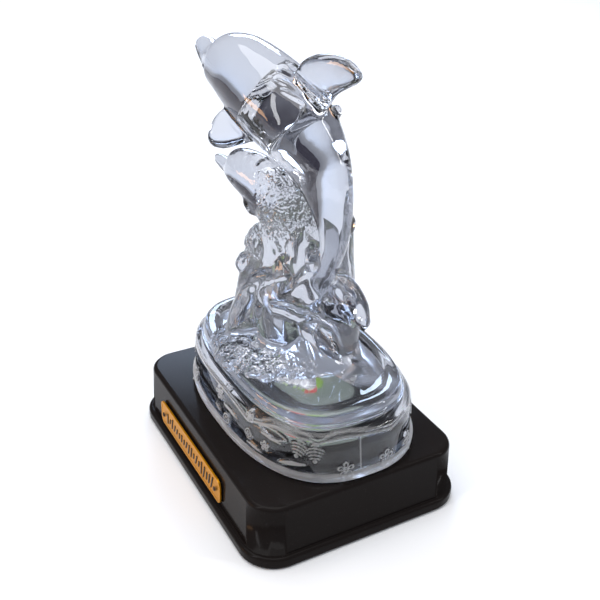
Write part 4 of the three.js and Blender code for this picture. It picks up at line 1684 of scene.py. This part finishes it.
@dataclass
class WaterSkin:
    """The finer relief of the water: streaks that run with it, froth, hollows and a pocket."""

    wave: Wave
    calf: Calf
    near: tuple[float, float] = (0.2, 2.2)
    spray_start: tuple[float, float] = (-9.6, -7.6)
    spray_slant: float = 0.2
    spray_level: float = 104.0
    spray_top: tuple[float, float] = (112.5, 111.0)
    # The spray's greatest x, greatest y and least z.
    spray_ends: Point = (6.0, 4.0, 84.0)
    streak_count: int = 7
    streak_rise: float = 0.10
    sway: float = 1.8
    sway_rise: float = 0.09
    # How often each row of streaks repeats, how it slants and how high it is.
    streak_rows: tuple[tuple[float, float, float], ...] = (
        (1.0, 0.0, 0.22), (2.3, 0.3, 0.08), (5.1, -0.2, 0.035))
    calm: float = 0.7
    lump_scale: float = 0.32
    lump_height: float = 0.55
    froth_foot: float = 91.5
    froth_drop: float = 12.5
    drop_side: tuple[float, float] = (-4.0, -8.0)
    froth_edge: tuple[float, float] = (-1.5, 2.0)
    froth_front: tuple[float, float] = (9.0, 4.0)
    froth_side: tuple[float, float] = (10.0, 2.0)
    mound_top: tuple[float, float] = (56.0, 51.0)
    mound_side: tuple[float, float] = (0.0, -6.0)
    pocket_depth: float = 1.1
    pocket_width: float = 2.4

    def wetness(self, points: np.ndarray, nearer: np.ndarray) -> np.ndarray:
        """Where the skin is water rather than dolphin, from 0 to 1.

        Args:
            points: places on the skin.
            nearer: how much nearer they are to the water's form than to the dolphins'.

        Returns:
            One share a place.
        """
        x, y, z = points.T
        aft, _ = self.calf.local(points)
        spray = (smoothstep(*self.spray_start, aft + self.spray_slant * (z - self.spray_level))
                 * smoothstep(*self.spray_top, z))
        front, side, foot = self.spray_ends
        return np.maximum(smoothstep(*self.near, nearer),
                          spray * (z > foot) * (x < front) * (y < side))

    def streaks(self, points: np.ndarray) -> np.ndarray:
        """The height of the streaks at places on the skin."""
        x, y, z = points.T
        turn = np.arctan2(y - WAVE_AXIS[1], x - WAVE_AXIS[0])
        flow = (self.streak_count * turn + self.streak_rise * z
                + self.sway * np.sin(self.sway_rise * z + 2 * turn))
        return sum(height * np.sin(times * flow + rise * z)
                   for times, rise, height in self.streak_rows)

    def froth(self, points: np.ndarray) -> np.ndarray:
        """Where the water breaks into froth, from 0 to 1: under the calf and on the mound."""
        x, y, z = points.T
        foot = self.froth_foot - self.froth_drop * smoothstep(*self.drop_side, x)
        high = (smoothstep(*self.froth_edge, z - foot) * smoothstep(*self.froth_front, x)
                * smoothstep(*self.froth_side, y))
        low = smoothstep(*self.mound_top, z) * smoothstep(*self.mound_side, y)
        return np.maximum(high, low)

    def lumps(self, points: np.ndarray) -> np.ndarray:
        """An uneven height for the froth, from about -1 to 1."""
        return np.array([noise.fractal(Vector(point) * self.lump_scale, 1.0, 2.0, 3)
                         for point in points])

    def dents(self, points: np.ndarray) -> np.ndarray:
        """The depth of the hollows and of the long pocket."""
        depth = np.zeros(len(points))
        for spot, radius, deep in self.wave.hollows:
            depth = depth + deep * bump(np.linalg.norm(points - np.array(spot), axis=1), radius)
        line = Curve(self.wave.pocket).at(np.linspace(0.0, 1.0, 40))
        away = np.min([np.linalg.norm(points - step, axis=1) for step in line], axis=0)
        return depth + self.pocket_depth * bump(away, self.pocket_width)


@dataclass
class Casting:
    """The whole clear casting: both dolphins, the wave and the base, as one piece."""

    mother: Mother = field(default_factory=Mother)
    calf: Calf = field(default_factory=Calf)
    wave: Wave = field(default_factory=Wave)
    base: OvalBase = field(default_factory=OvalBase)
    frame: FigureFrame = field(default_factory=FigureFrame)
    voxel: float = 0.62
    smoothing: int = 5

    def build(self, shop: Workshop) -> None:
        """Makes the casting and fits it."""
        dolphins = gather([*self.mother.pieces(), *self.calf.pieces()])
        water = gather(self.wave.pieces())
        skins = [BVHTree.FromBMesh(bm) for bm in (dolphins, water)]
        figure = to_object("figure", gather([dolphins, water]))
        shaped(figure, "REMESH", mode="VOXEL", voxel_size=self.voxel, use_smooth_shade=True)
        shaped(figure, "SMOOTH", factor=0.5, iterations=self.smoothing)
        self.carve(figure.data, *skins)
        stand = to_object("clear_casting", self.base.build())
        shaped(stand, "BOOLEAN", operation="UNION", solver="MANIFOLD", object=figure)
        bpy.data.objects.remove(figure)
        set_mesh_coords(stand.data, self.frame.seat(mesh_coords(stand.data)))
        log.info("casting: %d triangles", sum(len(p.vertices) - 2 for p in stand.data.polygons))
        shop.fit(stand, Slot.CLEAR, "clear_figure")

    def carve(self, mesh: bpy.types.Mesh, dolphins: BVHTree, water: BVHTree) -> None:
        """Works the finer relief into the figure's skin.

        Args:
            mesh: the figure.
            dolphins: the dolphins' plain forms.
            water: the wave's plain forms.
        """
        points, normals = mesh_coords(mesh), mesh_normals(mesh)
        to_fish = np.array([dolphins.find_nearest(p)[3] for p in points])
        to_water = np.array([water.find_nearest(p)[3] for p in points])
        skin = WaterSkin(self.wave, self.calf)
        wet = skin.wetness(points, to_fish - to_water)
        mask = skin.froth(points)
        froth = wet * mask
        move = (wet * skin.streaks(points) * (1 - skin.calm * mask)
                + skin.lump_height * froth * skin.lumps(points))
        fish = self.mother.markings(points) + self.calf.markings(points)
        move = move + (1 - wet) * fish - wet * skin.dents(points)
        set_mesh_coords(mesh, points + normals * move[:, None])
        layer = mesh.attributes.new("froth", "FLOAT", "POINT")
        layer.data.foreach_set("value", np.clip(froth, 0, 1).astype(np.float32))


# Studio


@dataclass(frozen=True)
class Lamp:
    """A soft rectangular light that faces the statue."""

    name: str
    spot: Point
    size: tuple[float, float]
    power: float
    colour: tuple[float, float, float] = (1.0, 1.0, 1.0)
    aim: Point = (0.0, 0.0, 0.08)

    def hang(self) -> None:
        """Hangs the light."""
        data = bpy.data.lights.new(self.name, "AREA")
        data.shape = "RECTANGLE"
        data.size, data.size_y = self.size
        data.energy = self.power
        data.color = self.colour
        lamp = bpy.data.objects.new(self.name, data)
        facing = (Vector(self.spot) - Vector(self.aim)).to_track_quat("Z", "Y")
        lamp.matrix_world = Matrix.Translation(self.spot) @ facing.to_matrix().to_4x4()
        bpy.context.scene.collection.objects.link(lamp)


@dataclass
class Studio:
    """Pale floor, soft lights and the camera of the photograph's view."""

    eye: Point = (0.233927, -0.129946, 0.214804)
    right: Point = (0.47849, 0.87777, 0.02374)
    up: Point = (-0.44057, 0.2166, 0.8712)
    back: Point = (0.75957, -0.42732, 0.49036)
    focal_over_width: float = 1.5
    sensor: float = 36.0
    horizon: Colour = (0.10, 0.088, 0.125, 1.0)
    sky: Colour = (0.76, 0.79, 0.885, 1.0)
    room: float = 0.55
    horizon_end: float = 0.12
    sky_start: float = 0.65
    floor_half: float = 4.0
    floor_tone: tuple[float, float] = (0.86, 0.90)
    lamps: tuple[Lamp, ...] = (
        Lamp("overhead", (-0.1, -0.1, 1.3), (1.2, 1.2), 15.0),
        Lamp("left strip", (0.1, -1.0, 0.7), (0.10, 0.9), 3.0, (0.95, 0.97, 1.0)),
        Lamp("right strip", (0.7, 0.9, 0.8), (0.08, 0.8), 3.0),
        Lamp("behind", (-1.0, 0.5, 0.6), (0.5, 0.3), 6.0, (0.62, 0.76, 1.0)),
        Lamp("warm left", (-0.4, -1.1, 0.18), (0.5, 0.16), 2.0, (1.0, 0.55, 0.25)),
    )

    def camera(self) -> None:
        """Sets the camera at the photograph's viewing angle."""
        data = bpy.data.cameras.new("view")
        data.sensor_width = self.sensor
        data.lens = self.sensor * self.focal_over_width
        data.clip_start = 0.01
        eye = bpy.data.objects.new("view", data)
        turn = Matrix((self.right, self.up, self.back)).transposed().to_4x4()
        eye.matrix_world = Matrix.Translation(self.eye) @ turn
        bpy.context.scene.collection.objects.link(eye)
        bpy.context.scene.camera = eye

    def floor(self) -> None:
        """Lays a wide pale floor."""
        bm = bmesh.new()
        bmesh.ops.create_grid(bm, x_segments=1, y_segments=1, size=self.floor_half)
        floor = to_object("floor", bm)
        shader = Shader("pale floor")
        spread = shader.node("ShaderNodeTexNoise", Scale=6.0, Detail=3.0)
        low, high = self.floor_tone
        tone = shader.node("ShaderNodeMapRange", To_Min=low, To_Max=high)
        shader.tree.links.new(spread.outputs["Fac"], tone.inputs["Value"])
        shader.link(tone.outputs["Result"], "Base Color")
        shader.plain(Roughness=0.85)
        floor.data.materials.append(shader.material)

    def surround(self) -> None:
        """Sets a room that is pale above and darker towards the horizon."""
        world = bpy.data.worlds.new("surround")
        world.use_nodes = True
        tree = world.node_tree
        ground = tree.nodes["Background"]
        spot = add_node(tree, "ShaderNodeTexCoord")
        split = add_node(tree, "ShaderNodeSeparateXYZ")
        ramp = add_node(tree, "ShaderNodeValToRGB")
        low, high = ramp.color_ramp.elements
        low.position, low.color = self.horizon_end, self.horizon
        high.position, high.color = self.sky_start, self.sky
        tree.links.new(spot.outputs["Generated"], split.inputs[0])
        tree.links.new(split.outputs["Z"], ramp.inputs["Fac"])
        tree.links.new(ramp.outputs["Color"], ground.inputs["Color"])
        ground.inputs["Strength"].default_value = self.room
        bpy.context.scene.world = world
        bpy.context.scene.view_settings.view_transform = "Standard"

    def build(self) -> None:
        """Sets the whole studio."""
        self.camera()
        self.floor()
        for lamp in self.lamps:
            lamp.hang()
        self.surround()


def main() -> None:
    """Builds each sub-assembly in order, then the studio."""
    logging.basicConfig(level=logging.INFO, format="%(name)s: %(message)s")
    shop = Workshop()
    Studio().build()
    Plinth().build(shop)
    Plate().build(shop)
    LightUnit().build(shop)
    Casting().build(shop)


if __name__ == "__main__":
    main()
